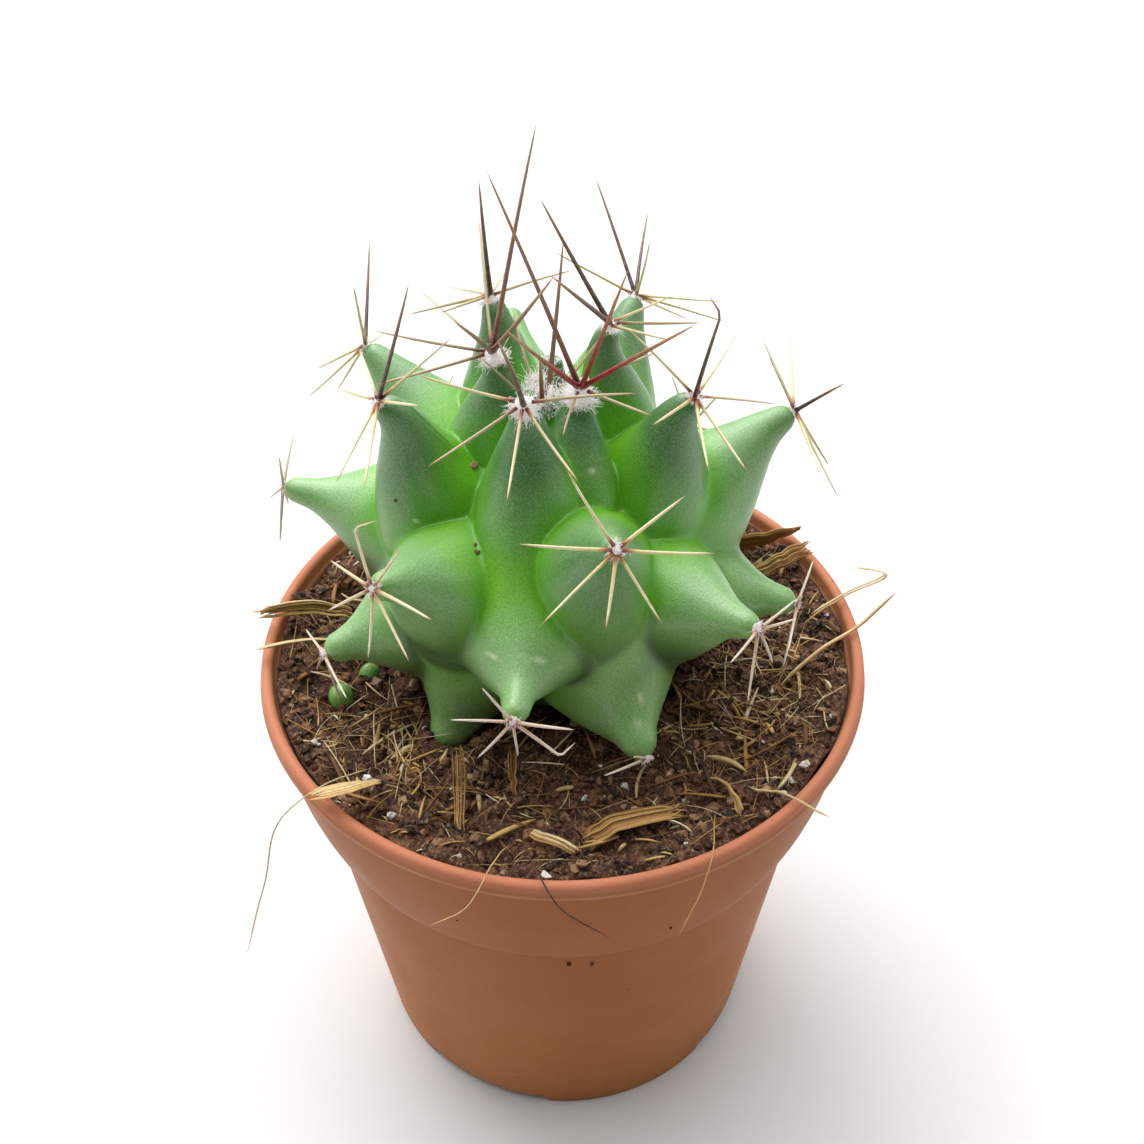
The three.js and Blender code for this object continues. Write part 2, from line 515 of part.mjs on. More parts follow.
function soilGeometry(cutter) {
  const points = [];
  const loop = (radius, height) => {
    for (let k = 0; k < POT_SIDES; k++) {
      const a = k * 2 * Math.PI / POT_SIDES;
      const x = radius * Math.sin(a);
      const y = -radius * Math.cos(a);
      points.push(new THREE.Vector3(x, y, height ?? soilHeight(x, y)));
    }
  };
  const edge = SOIL_TOP - 0.6;
  for (const radius of SOIL_RINGS) loop(radius);
  loop(potInside(edge) - GAP - 0.9);
  loop(potInside(edge) - GAP, edge);
  for (const z of [BAND_BOTTOM + 0.3, BAND_BOTTOM - 0.8, 3.6]) loop(potInside(z) - GAP, z);
  loop(potInside(3) - GAP - 0.6, 2.4 + GAP);
  const loops = points.length / POT_SIDES;
  const top = points.push(new THREE.Vector3(0, 0, soilHeight(0, 0))) - 1;
  const bottom = points.push(new THREE.Vector3(0, 0, 2.4 + GAP)) - 1;
  const triangles = [];
  for (let k = 0; k < POT_SIDES; k++) {
    const next = (k + 1) % POT_SIDES;
    triangles.push([top, k, next]);
    for (let ring = 0; ring < loops - 1; ring++) {
      const [a, b] = [ring * POT_SIDES + k, ring * POT_SIDES + next];
      triangles.push([a, a + POT_SIDES, b + POT_SIDES], [a, b + POT_SIDES, b]);
    }
    const last = (loops - 1) * POT_SIDES;
    triangles.push([bottom, last + next, last + k]);
  }
  return fromSolid(largest(toSolid(fromTriangles(points, triangles)).subtract(cutter)));
}

function strawGeometry([width, thick, route]) {
  const points = route.map(([x, y, z, onSoil]) => new THREE.Vector3(x, y, onSoil ? soilHeight(x, y) + z : z));
  const path = new THREE.CatmullRomCurve3(points);
  const shape = new THREE.Shape([
    new THREE.Vector2(-thick / 2, -width / 2), new THREE.Vector2(thick / 2, -width / 2),
    new THREE.Vector2(thick / 2, width / 2), new THREE.Vector2(-thick / 2, width / 2),
  ]);
  return new THREE.ExtrudeGeometry(shape, { steps: STRAW_STEPS, extrudePath: path });
}

const object = new THREE.Group();
object.name = 'potted_thelocactus_flavus';

const bare = plantForm(0);
const clear = plantForm(CUSHION_LIFT);
const directions = bodyDirections(bare);
const socket = toSolid(bodyGeometry(plantForm(0.45), directions));

object.add(node('pot', potGeometry(), TERRACOTTA));
object.add(node('soil', soilGeometry(socket), PEAT));
object.add(node('cactus_body', bodyGeometry(bare, directions), FLESH));
for (const one of clear.ones) {
  if (one.age < 0 || BARE.includes(one.age)) continue;
  object.add(node(`areole_${String(one.age).padStart(2, '0')}`, areoleGeometry(clear, one), SPINE));
}
object.add(node('crown_tuft', crownGeometry(plantForm(CROWN_LIFT)), SPINE));
for (const [name, straw] of Object.entries(STRAWS)) object.add(node(name, strawGeometry(straw), STRAW));

export default object;
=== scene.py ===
"""Potted thelocactus flavus: the fine surface and finish of a small globe cactus in a nursery pot."""
import math

import bpy
import numpy as np
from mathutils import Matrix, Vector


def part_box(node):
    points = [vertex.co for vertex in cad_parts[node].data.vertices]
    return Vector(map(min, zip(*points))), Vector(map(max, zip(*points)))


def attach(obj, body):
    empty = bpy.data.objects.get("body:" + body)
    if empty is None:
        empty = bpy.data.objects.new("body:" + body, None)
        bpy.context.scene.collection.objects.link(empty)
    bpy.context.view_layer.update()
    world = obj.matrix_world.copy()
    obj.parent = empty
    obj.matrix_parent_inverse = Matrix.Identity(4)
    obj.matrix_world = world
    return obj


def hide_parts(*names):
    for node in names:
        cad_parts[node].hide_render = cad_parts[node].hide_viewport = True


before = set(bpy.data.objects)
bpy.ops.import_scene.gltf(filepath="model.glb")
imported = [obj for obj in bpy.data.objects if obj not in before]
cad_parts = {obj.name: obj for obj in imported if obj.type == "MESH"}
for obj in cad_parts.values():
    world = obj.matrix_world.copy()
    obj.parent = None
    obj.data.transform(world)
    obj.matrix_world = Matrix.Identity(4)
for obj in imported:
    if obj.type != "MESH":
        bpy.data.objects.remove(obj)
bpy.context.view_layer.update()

bl_info = {
    "name": "Potted Thelocactus",
    "version": (1, 0, 0),
    "blender": (4, 5, 0),
    "location": "View3D > Sidebar > Cactus",
    "description": "Builds a potted thelocactus flavus with its spines, wool, soil and pot",
    "category": "Add Mesh",
}

MM = 0.001
# Shader nodes used most, and a colour mix's sockets: share, colour under, colour over, and result
RAMP = "ShaderNodeValToRGB"
MIX = "ShaderNodeMix"
SHARE, UNDER, OVER, RESULT = 0, 6, 7, 2
RIM_RADIUS = (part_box("pot")[1][0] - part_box("pot")[0][0]) / 2 / MM
POT_HEIGHT = (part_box("pot")[1][2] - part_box("pot")[0][2]) / MM

# Camera: place in mm, width of its sensor in mm, focal length and width of the photograph in pixels
CAMERA_PLACE = (0.84, -91.9, 139.7)
SENSOR_WIDTH = 36
FOCAL_PIXELS = 1400
PHOTO_PIXELS = 1144

# Plant form in mm: tubercles on one golden-angle spiral. Each table gives a value by the tubercle's age
BODY_CENTRE = np.array([-0.9, 3.2, 57.0])
CORE_RADIUS = 12.6
FIRST_AZIMUTH = 310.3
DIVERGENCE = -138.15
YOUNGEST, OLDEST, WITHERED = -5, 28, 26
AGES = [age for age in range(YOUNGEST, OLDEST + 1) if age != WITHERED]
SLIDE_END = 0.88
RIB_SPAN = 13
SADDLE_SOFTNESS = 2.0
FURROW_SOFTNESS = 0.3
LOWER_STRETCH = 1.2
# A base spreads up to its tip's side: distance from the centre at which it is measured, and margin
SIDE_RADIUS = 15.5
SIDE_MARGIN = 1.05
# Heights at which a tubercle is tested for its skin, and how often the last step is halved
TEST_HEIGHTS = 26
HALVINGS = 9
# Where a tubercle has no reach it ends this far under the core, and it reaches only where it faces so nearly
BURIED = 5.0
FACING = 0.3
# How far the core swells out below
SWELLING = 1.6
# Rows of the skin by polar angle in degrees: from crown to soil, and the root's; its start, length and radius
SKIN_POLAR = (0.35, 138)
ROOT_POLAR = (145, 179.5)
ROOT_ROWS = 6
ROOT_START = 140
ROOT_LENGTH = 24.0
ROOT_RADIUS = 4.2
# Height under which painted shade darkens the skin's under sides, and age from which it darkens whole
# tubercles
PAINTED_SHADE_HEIGHT = 63
PAINTED_SHADE_AGE = 19.5
# Distance between breathing pores of the skin as drawn
PORE_SPACING = 0.13
TIP_FROM_AXIS = [(-6, 0.9), (-3, 1.8), (0, 3.6), (2, 5.8), (5, 12.1), (8, 18.5), (12, 23.4),
                 (16, 22.8), (20, 21.5), (24, 17), (30, 15)]
TIP_HEIGHT = [(-6, 74), (-3, 74.6), (0, 76), (2, 78.2), (5, 77), (8, 73.1), (12, 66.2),
              (16, 59.3), (20, 52.7), (24, 45.9), (30, 43)]
BASE_HALF_WIDTH = [(-6, 1.3), (-1, 2.1), (0, 3.2), (3, 4.3), (5, 4.7), (8, 5.3), (11, 5.7), (13, 5.9),
                   (16, 7.0), (19, 6.6), (21, 6.8), (24, 6.4), (30, 5.5)]
TIP_HALF_WIDTH = [(-6, 0.7), (0, 0.85), (5, 0.9), (8, 0.95), (13, 0.95), (16, 1.0), (20, 1.15), (24, 1.4),
                  (30, 1.4)]
BULGE = [(-6, 1.5), (5, 1.7), (11, 1.6), (16, 1.3), (21, 1.5), (30, 1.5)]
# How each tubercle narrows: the height of its neck, and the share of the narrowing that ends there
NECK = [(-6, 0.92), (9, 0.92), (11, 0.86), (13, 0.86), (16, 0.8), (21, 0.85), (30, 0.85)]
NECK_SHARE = [(-6, 0.6), (9, 0.6), (11, 0.7), (13, 0.7), (16, 0.85), (21, 0.7), (30, 0.7)]
# Outline exponent of the base: 2 is an ellipse, less is a rhomb with rounded corners
CORNER = [(-6, 2.0), (1, 2.0), (3, 1.5), (5, 2.0), (10, 2.0), (13, 1.8), (16, 1.6), (30, 1.7)]
BASE_ELEVATION = [(-6, 82), (0, 64), (3, 55), (6, 46), (8, 34), (11, 23), (16, 4), (19, -12), (24, -26)]
# Where one tip grew aside: degrees round, outwards, up
TIP_NUDGE = {
    3: (0, 0, 0.2), 4: (3, 0, 0.2), 5: (0, 0, -0.7), 6: (0, 0, 0.9), 7: (-1, -0.5, 0), 8: (0.5, 0, -0.8),
    11: (3, 0, 0.6), 12: (8, 0, 1.5), 13: (0, 0, -1.4), 14: (0, 0.5, 0), 15: (14, -1.5, -3),
    16: (3, 0, -0.3), 19: (0, 0, -1.3), 21: (3, 0.4, -0.3),
}
# Where one base grew aside: degrees round, degrees up, width factor, downward stretch, upward stretch
BASE_NUDGE = {
    0: (-18, 0, 1, 1.3, 1), 1: (0, 6, 1.1, 1.2, 1), 3: (0, 4, 1, 2.1, 1), 5: (5, -4.5, 1.15, 1.05, 1),
    6: (-7, -9, 1.08, 1.45, 1), 8: (0, -3, 1.02, 1.5, 1), 10: (-12, 0, 1.05, 1.6, 1),
    11: (-5, -7.5, 1.12, 1.1, 1), 13: (4, -6, 1, 1.6, 1), 14: (0, 0, 1.05, 1.3, 1),
    16: (-3.5, -2, 1.05, 0.42, 1.35), 19: (0, -4, 1.04, 1.6, 1), 21: (4, -6, 1, 1, 1.6),
    24: (-7, -3, 0.9, 1.2, 1.2),
}

# Ages whose tip is bare, and those that carry an areole
BARE = (12, 23, 24, 25, 27, 28)
AREOLES = [age for age in AGES if age >= 0 and age not in BARE]

# Stubs of old tubercles beside the plant: middle and radius in mm
STUBS = [(np.array([-20.1, -5.3, 46.4]), 1.2), (np.array([-17.8, -2.2, 46.2]), 1.0)]

# Healed scratches and spots of the skin: both ends in mm, and half the width
SCARS = [((-6.1, -13.4, 60.5), (-4.8, -14.5, 60.7), 0.25), ((-3.2, -14.6, 61.3), (-1.3, -14.5, 60.5), 0.25),
         ((-5.4, -12.6, 61.3), (-4.4, -12.9, 61.6), 0.22), ((-1.6, -14.1, 60.4), (-0.1, -14.1, 59.3), 0.22),
         ((6.2, -14.6, 53.4), (6.3, -14.7, 53.2), 0.45), ((2.5, -3.4, 70.8), (2.7, -3.6, 70.7), 0.4),
         ((6.4, -13.1, 55.1), (6.6, -13.5, 54.4), 0.3), ((-11.9, -4.3, 66.5), (-11.7, -4.6, 66.4), 0.3)]

# Spines by age of their tubercle: clock from the crown side and lean from the tubercle's axis in degrees,
# length in mm, and for a broken one how far it turns aside
CENTRALS = {
    0: [(350, 38, 18), (205, 18, 16.5), (172, 35, 15), (265, 42, 14)],
    1: [(305, 34, 18), (80, 48, 12), (40, 50, 14)],
    2: [(0, 43, 14.5), (335, 61, 13)],
    3: [(160, 18, 15)],
    4: [(15, 37, 12)],
    5: [(305, 30, 12.5, 0.16)],
    6: [(25, 50, 12.5)],
    7: [(95, 38, 12), (145, 40, 11)],
    9: [(275, 48, 10.5)],
    10: [(310, 53, 8)],
}
RADIALS = {
    0: [(168, 77, 6), (95, 80, 6.5), (235, 82, 6)],
    1: [(228, 80, 11), (195, 83, 10.5), (260, 67, 13.5), (150, 84, 9)],
    2: [(160, 88, 9), (190, 90, 8.5), (285, 70, 9.5), (130, 92, 8)],
    3: [(272, 86, 8), (75, 84, 8), (214, 82, 8.5), (172, 82, 9), (141, 80, 8.5)],
    4: [(50, 86, 9.5), (75, 84, 8), (344, 80, 10), (215, 86, 8), (180, 86, 8)],
    5: [(2, 80, 7), (95, 86, 9), (136, 88, 8), (284, 77, 8.5), (250, 80, 8.5), (224, 78, 8)],
    6: [(18, 79, 8), (63, 76, 7), (242, 95, 6.5), (275, 90, 7), (130, 78, 8), (112, 82, 9)],
    7: [(338, 73, 10), (296, 86, 9.5), (190, 87, 9), (240, 85, 8), (50, 84, 8)],
    8: [(281, 83, 7), (105, 86, 7), (61, 86, 6), (238, 83, 7.5), (198, 84, 5.5), (160, 85, 6),
        (333, 82, 6.5)],
    9: [(22, 70, 9), (80, 84, 6.5), (148, 88, 7), (185, 92, 7.5), (235, 86, 7)],
    10: [(81, 73, 8), (50, 84, 6.5), (240, 92, 8), (265, 92, 7.5), (180, 90, 7), (0, 84, 6)],
    11: [(275, 87, 4), (324, 84, 4.4, 0.5), (27, 81, 4.5), (226, 87, 4.5), (160, 86, 5), (124, 84, 6),
         (85, 84, 6)],
    13: [(85, 85, 4), (110, 86, 4), (262, 80, 4), (208, 86, 5.5), (165, 86, 3.5)],
    14: [(20, 84, 5), (60, 86, 5.5), (183, 92, 6.5), (215, 92, 6.5), (300, 84, 5)],
    16: [(330, 81, 4), (271, 86, 4.5), (213, 86, 4.5), (173, 86, 3), (89, 84, 4.5), (125, 85, 4.4, -0.45)],
    18: [(320, 86, 4.5), (274, 88, 6), (235, 88, 5.5), (80, 84, 5)],
    19: [(254, 84, 5.5), (215, 78, 5), (89, 90, 6), (160, 86, 4.5, 0.25)],
    21: [(330, 80, 3.5), (280, 80, 4)],
    22: [(330, 80, 4), (30, 80, 4), (85, 84, 4), (280, 84, 4)],
}
# Radials of a tip that isn't seen: clocks and lean in degrees, length in mm
STAR_CLOCKS = (330, 30, 85, 145, 185, 235, 280)
STAR_LEAN = 84
STAR_LENGTH = 5
CROWN_AIM = np.array([-0.045, -0.045, 1.0])
CROWN_SPINES = [(355, 14, 14), (130, 30, 11), (30, 40, 8), (290, 42, 8), (215, 34, 7)]
SPINE_STEPS = 13
SPINE_SIDES = 8
# Where a broken spine turns aside, and how much of it does, in shares of its length
BREAK_PLACE = 0.8
BREAK_LENGTH = 0.2
# Half-width of a central spine when young and when old, of the finest radial, and how much more others have
CENTRAL_WIDTHS = (0.22, 0.18)
RADIAL_WIDTH = 0.118
RADIAL_MORE = 0.03
# Spines root round the middle of the tuft, in tuft sizes: height over the tip, distance from its middle
RADIAL_SEAT = (0.3, 0.6)
CENTRAL_SEAT = (0.4, 0.2)
CROWN_SEAT = (0.3, 0.5)

# Size of the wool tuft by age, in mm. A cushion's radius and its hairs' length are shares of that size
WOOL_SIZE = [(-1, 1.5), (0, 1.65), (1, 1.35), (2, 1.05), (3, 1.4), (5, 0.85), (9, 0.75), (13, 0.65),
             (23, 0.55)]
CUSHION_RADIUS = 0.78
CUSHION_HEIGHT = 0.46
HAIR_LENGTH = 0.52
HAIR_SHARE = 1.05
HAIR_WIDTH = 0.031
# Crown tuft: radius, height over the body's centre and length of hair in mm, its hairs in areoles' worth,
# and half-width of a hair
CROWN_RADIUS = 2.5
CROWN_HEIGHT = 18.0
CROWN_HAIR_LENGTH = 1.0
CROWN_HAIR_SHARE = 3
CROWN_HAIR_WIDTH = 0.028
# How far the hairs root over the skin, in mm
HAIR_LIFT = 0.1
HAIR_STEPS = 5

# Potting mix in mm
SOIL_TOP = 46.4
SOIL_EDGE = 26.2
# The soil climbs towards the wall from this radius on, over this width
RISE_START = 19
RISE_WIDTH = 7
# Grains and rootlets keep inside these radii
GRAIN_EDGE = 25.9
ROOTLET_EDGE = 26
# The soil's hidden skirt and floor: radius, height
SOIL_SKIRT = ((25.4, 44.5), (23.2, 34.8), (19.0, 4.0), (0.3, 3.2))
# Drifts of rootlets: middle, spread in square mm, strength
DRIFTS = ((-15, -12, 60, 0.7), (17, -4, 70, 1.0))

# Places of the larger perlite grains: x of each, y of each, in mm, and their size
PERLITE_PLACES = ((1.9, 19.1, 19.5, 18.6, 20.6, -16.5), (-17, -4.4, -15.6, -16.9, -14.6, -15.5))
PERLITE_SIZE = 0.42
# Grains on the soil by piece: distance kept from the plant; least size, range and power of their sizes; seat
# over the soil as a share of the size and in mm; flatness; and places of large ones
GRAINS = {
    "peat_crumbs": (0.1, (0.12, 0.5, 2.5), (0.3, 0), 0.7, ((), ())),
    "bark_chips": (0.8, (0.35, 0.65, 2), (0, 0.25), 0.28, ((), ())),
    "perlite_grains": (0.6, (0.16, 0.34, 2), (0.5, 0), 0.9, PERLITE_PLACES),
}

# Crumbs of peat that stick to the plant and to the pot's wall: place and size in mm
STRAY_CRUMBS = [(-7.2, -0.3, 69.0, 0.4), (-6.9, -6.95, 66.1, 0.22), (-6.8, -7.6, 65.95, 0.25),
                (0.6, -23.5, 31.8, 0.3), (2.6, -23.4, 31.5, 0.24), (-13.5, -3.6, 68.1, 0.3),
                (-8.7, -24.5, 40, 0.2), (9.2, -24, 38, 0.16)]

# Pot in mm. Outside radius of the wider band, and inside radius, by height
BAND = [(34.8, 24.64), (37, 25.4), (40, 26.1), (43.5, 26.6), (46.7, 26.95)]
INSIDE = [(2.4, 18.2), (3.4, 19.2), (33.9, 22.76), (34.7, 23.8), (47.3, 26.1)]
# Profile (radius, height) under the floor, at the step below the band, under and in the lip, on the floor
UNDER_FLOOR = [(0.2, 1.4), (16.5, 1.4), (17.5, 1.3), (17.9, 0.9), (18.0, 0.25)]
STEP = [(23.66, 33.7), (23.8, 33.95), (24.25, 34.15), (24.5, 34.4), (24.64, 34.8)]
UNDER_LIP = [(27.1, 47.05), (27.4, 47.15), (27.66, 47.2), (27.72, 47.27), (27.6, 47.36), (27.54, 47.5)]
INSIDE_LIP = [(26.46, 47.8), (26.36, 47.4), (26.1, 46.6)]
FLOOR = [(18.6, 2.7), (17.8, 2.4), (9, 2.4), (0.2, 2.4)]
# Lower wall from its foot to the step: radius, height at both ends
WALL = ((20.02, 1.2), (23.66, 33.6))
# Lip radius that the profile is drawn with
DRAWN_RIM = 27.6
POT_COLUMNS = 240
# Notches in the foot ring and drain holes in the floor: azimuths in degrees; holes by radius and distance out
NOTCHES = (245, 335, 65, 155)
NOTCH_HALF = 20.5
HOLE_RADIUS = 2.6
HOLE_DISTANCE = 12

# Straws that have a node of their own: (width, thickness, points); S heights count from the soil
STRAWS = {
    "stick_front_left": (1.1, 0.5, [(-8.2, -21.3, 0.55, "S"), (-8.4, -18.2, 3.1, "S"),
                                    (-8.5, -15.6, 5, "S")]),
    "stick_front_middle": (0.7, 0.5, [(-3.9, -17.6, 0.55, "S"), (-4.2, -15.9, 2.2, "S"),
                                      (-4, -14.4, 4, "S")]),
    "bark_curl": (1.2, 0.5, [(1.6, -22.4, 0.95, "S"), (4.8, -21.2, 1.9, "S"), (10.6, -18.4, 1, "S")]),
    "straw_front": (0.6, 0.4, [(-3, -20.8, 0.65, "S"), (-0.8, -23.2, 1.6, "S"), (1.5, -24.6, 49.3)]),
    "straw_front_right": (0.6, 0.4, [(12.6, -14.6, 0.7, "S"), (14, -17.2, 0.9, "S"),
                                     (14.8, -19.8, 0.75, "S")]),
    "fibre_right_long": (0.6, 0.4, [(19.2, -5, 0.7, "S"), (23, -2.4, 1.9, "S"), (27.1, 0.9, 49.2),
                                    (31.1, 3.4, 51.5)]),
    "fibre_right_loop": (0.8, 0.5, [(22.6, 3.2, 0.9, "S"), (26.5, 4.9, 49.5), (30.5, 6.4, 50.7),
                                    (27.7, 7.9, 50.5)]),
    "straw_back_right_a": (1.4, 0.6, [(16.6, 14.4, 0.8, "S"), (19.6, 13.6, 2.4, "S"), (23.6, 14, 50.2)]),
    "straw_back_right_b": (1.2, 0.6, [(18.6, 9.6, 0.8, "S"), (21.2, 10.2, 2, "S"), (24.4, 11.8, 49.7)]),
    "straw_left_a": (1, 0.5, [(-20, 5, 0.9, "S"), (-23.6, 3.2, 2.9, "S"), (-28.7, 1.2, 50.5)]),
    "straw_left_b": (0.8, 0.5, [(-20, 1, 0.9, "S"), (-23.4, -1.2, 2.7, "S"), (-27.9, -2.7, 49.9)]),
    "straw_rim_left": (0.9, 0.4, [(-15, -16.8, 1, "S"), (-17, -18.8, 3.2, "S"), (-20.6, -19.7, 50)]),
    "hair_left_hanging": (0.4, 0.4, [(-16, -15.6, 1.8, "S"), (-19, -17.9, 49.8), (-23, -20.1, 47.9),
                                     (-26, -19.8, 38), (-30.4, -16.4, 22.5)]),
    "fibre_front_gold": (0.5, 0.4, [(-4.2, -22.4, 1.4, "S"), (-5.4, -25.9, 49.5), (-7.3, -28.5, 47.7),
                                    (-10.4, -27.7, 43.8)]),
    "fibre_front_dark": (0.4, 0.3, [(-3, -22.6, 1.6, "S"), (-1.9, -26.4, 49.4), (0, -28.7, 47.6),
                                    (3.9, -28.4, 43.2)]),
    "hair_front_right": (0.4, 0.3, [(12.4, -20.6, 1.8, "S"), (12, -24.3, 49.3), (11, -27.1, 48.2),
                                    (9.3, -29.2, 44.7)]),
    "fibre_rim_back": (0.5, 0.4, [(1.6, 21.4, 1, "S"), (2.6, 26, 49.4), (3.4, 30, 48.5)]),
    "fibre_rim_right": (0.4, 0.3, [(15.6, -17.4, 1.2, "S"), (18.4, -18.7, 49.2), (21.8, -20.7, 48.7)]),
}
# How dark each straw is: 0 pale straw to 1 dark root
STRAW_TONE = {"fibre_front_dark": 0.9, "hair_front_right": 0.35, "hair_left_hanging": 0.02,
              "bark_curl": 0.5, "stick_front_left": 0.42, "stick_front_middle": 0.45,
              "fibre_right_loop": 0.25, "straw_back_right_a": 0.5, "straw_back_right_b": 0.45,
              "straw_left_a": 0.4}
USUAL_TONE = 0.3

# Looks of straws: width factor, strands, fraying at the ends; then those of the other thin and wide ones
STRAW_LOOK = {"bark_curl": (1.5, 18, 2), "straw_back_right_a": (1.5, 9, 1), "straw_back_right_b": (1.3, 7, 1),
              "straw_front": (1.3, 6, 0.8), "straw_left_a": (1.3, 7, 1), "stick_front_left": (0.95, 7, 0.3),
              "stick_front_middle": (1.1, 5, 0.8), "straw_rim_left": (1.4, 7, 1.4),
              "fibre_right_long": (0.45, 2, 0.3), "fibre_right_loop": (0.4, 2, 0.3),
              "hair_left_hanging": (0.26, 1, 0), "fibre_front_gold": (0.28, 1, 0),
              "hair_front_right": (0.26, 1, 0), "fibre_front_dark": (0.32, 1, 0)}
THIN_LOOK, WIDE_LOOK = (0.4, 1, 0), (1.1, 5, 0.8)
THIN_UNDER = 0.6
STRAW_STEPS = 30
STRAW_SIDES = 6

# Light tent: unit vector to its brightest place, its brightness by nearness to that place, its strength;
# and the lamps in it by name, place in mm, size in m and power in W
TENT_TOP = (-0.12, 0.46, 0.88)
TENT_GLOW = [(0.0, 0.02), (0.4, 0.05), (0.62, 0.2), (0.85, 0.85), (1.0, 1.0)]
TENT_STRENGTH = 2.95
LAMP_TARGET = (0, 0, 50.0)
LAMPS = (("back_left_softbox", (-420, 560, 1050), 0.8, 7.5), ("left_softbox", (-900, -60, 420), 0.7, 1.6),
         ("right_softbox", (950, 100, 480), 0.7, 2.2))
# Half the side of the white paper under the pot, in mm
PAPER_HALF = 900


class PotSettings(bpy.types.PropertyGroup):
    rim_radius: bpy.props.FloatProperty(name="Rim radius", description="Outside radius of the rolled lip",
                                        default=RIM_RADIUS * MM, unit="LENGTH")
    height: bpy.props.FloatProperty(name="Height", description="Height of the pot", default=POT_HEIGHT * MM,
                                    unit="LENGTH")


class PlantSettings(bpy.types.PropertyGroup):
    columns: bpy.props.IntProperty(name="Columns", description="Surface points round the body", default=420)
    rows: bpy.props.IntProperty(name="Rows", description="Surface points from crown to root", default=236)
    hairs: bpy.props.IntProperty(name="Hairs", description="Wool hairs on a middle-sized areole", default=300)
    seed: bpy.props.IntProperty(name="Seed", description="Seed for hairs and small unevenness", default=11)


class SoilSettings(bpy.types.PropertyGroup):
    crumbs: bpy.props.IntProperty(name="Crumbs", description="Loose crumbs of peat on the surface",
                                  default=4600)
    chips: bpy.props.IntProperty(name="Chips", description="Chips of bark on the surface", default=170)
    grains: bpy.props.IntProperty(name="Grains", description="Scattered grains of perlite", default=34)
    rootlets: bpy.props.IntProperty(name="Rootlets", description="Thin fibres lying on the soil",
                                    default=1700)
    seed: bpy.props.IntProperty(name="Seed", description="Seed for the soil and its fibres", default=5)


class StageSettings(bpy.types.PropertyGroup):
    pitch: bpy.props.FloatProperty(name="Camera pitch", description="Downward tilt of the camera",
                                   default=math.radians(42), subtype="ANGLE")
    lens: bpy.props.FloatProperty(name="Focal length", description="Camera lens in millimetres",
                                  default=SENSOR_WIDTH * FOCAL_PIXELS / PHOTO_PIXELS, unit="CAMERA")


def smooth(x):
    """Smooth step from 0 to 1 as x goes from 0 to 1."""
    t = np.clip(x, 0, 1)
    return t * t * (3 - 2 * t)


def between(table, x):
    """Value of a table of (key, value) at x, straight between its rows."""
    return np.interp(x, [row[0] for row in table], [row[1] for row in table])


def direction(azimuth, elevation):
    """Unit vector to an azimuth and elevation in radians."""
    return np.array([math.cos(elevation) * math.cos(azimuth), math.cos(elevation) * math.sin(azimuth),
                     math.sin(elevation)])


def unit(v):
    """Vectors along the last axis, each made one long."""
    return v / np.maximum(np.linalg.norm(v, axis=-1, keepdims=True), 1e-12)


def uneven(i, j):
    """A fixed pseudo-random number from 0 to 1 for two whole numbers."""
    s = math.sin(i * 12.9898 + j * 78.233) * 43758.5453
    return s - math.floor(s)


def lattice(ix, iy, iz, seed):
    """A fixed pseudo-random number from 0 to 1 for each whole-numbered lattice point."""
    n = (ix.astype(np.int64) * 73856093) ^ (iy.astype(np.int64) * 19349663) ^ (iz.astype(np.int64) * 83492791)
    n = (n + seed * 7919) & 0xFFFFFFFF
    n = ((n ^ (n >> 15)) * 2246822519) & 0xFFFFFFFF
    n = ((n ^ (n >> 13)) * 3266489917) & 0xFFFFFFFF
    return ((n ^ (n >> 16)) & 0xFFFFFF) / float(0xFFFFFF)


def noise(points, cell, seed):
    """Smooth value noise from -1 to 1: lattice values a cell apart, blended with a smooth step."""
    p = np.asarray(points) / cell
    base = np.floor(p)
    f = smooth(p - base)
    total = 0
    for dx in (0, 1):
        for dy in (0, 1):
            for dz in (0, 1):
                weight = (np.where(dx, f[..., 0], 1 - f[..., 0]) * np.where(dy, f[..., 1], 1 - f[..., 1])
                          * np.where(dz, f[..., 2], 1 - f[..., 2]))
                corner = (base[..., 0] + dx, base[..., 1] + dy, base[..., 2] + dz)
                total = total + weight * lattice(*corner, seed)
    return total * 2 - 1


def mesh_object(name, points, polygons, attributes=None, smooth_faces=True):
    """A mesh from points in mm and a list of index arrays, one array for each number of corners."""
    mesh = bpy.data.meshes.new(name)
    points = np.asarray(points, dtype=np.float64).reshape(-1, 3) * MM
    mesh.vertices.add(len(points))
    mesh.vertices.foreach_set("co", points.ravel().astype(np.float32))
    sizes = np.concatenate([np.full(len(p), p.shape[1]) for p in polygons])
    corners = np.concatenate([np.asarray(p).ravel() for p in polygons]).astype(np.int32)
    mesh.loops.add(len(corners))
    mesh.loops.foreach_set("vertex_index", corners)
    mesh.polygons.add(len(sizes))
    mesh.polygons.foreach_set("loop_start", np.concatenate([[0], np.cumsum(sizes)[:-1]]).astype(np.int32))
    mesh.polygons.foreach_set("use_smooth", np.full(len(sizes), smooth_faces))
    mesh.update(calc_edges=True)
    mesh.validate()
    for key, values in (attributes or {}).items():
        layer = mesh.attributes.new(key, "FLOAT", "POINT")
        layer.data.foreach_set("value", np.asarray(values, dtype=np.float32).ravel())
    obj = bpy.data.objects.new(name, mesh)
    bpy.context.scene.collection.objects.link(obj)
    return obj


def grid(rows, columns, start=0):
    """Quads between neighbouring points of rings stored ring by ring."""
    i, j = np.meshgrid(np.arange(rows - 1), np.arange(columns), indexing="ij")
    k = (j + 1) % columns
    return start + np.stack([i * columns + j, i * columns + k, (i + 1) * columns + k, (i + 1) * columns + j],
                            axis=-1).reshape(-1, 4)


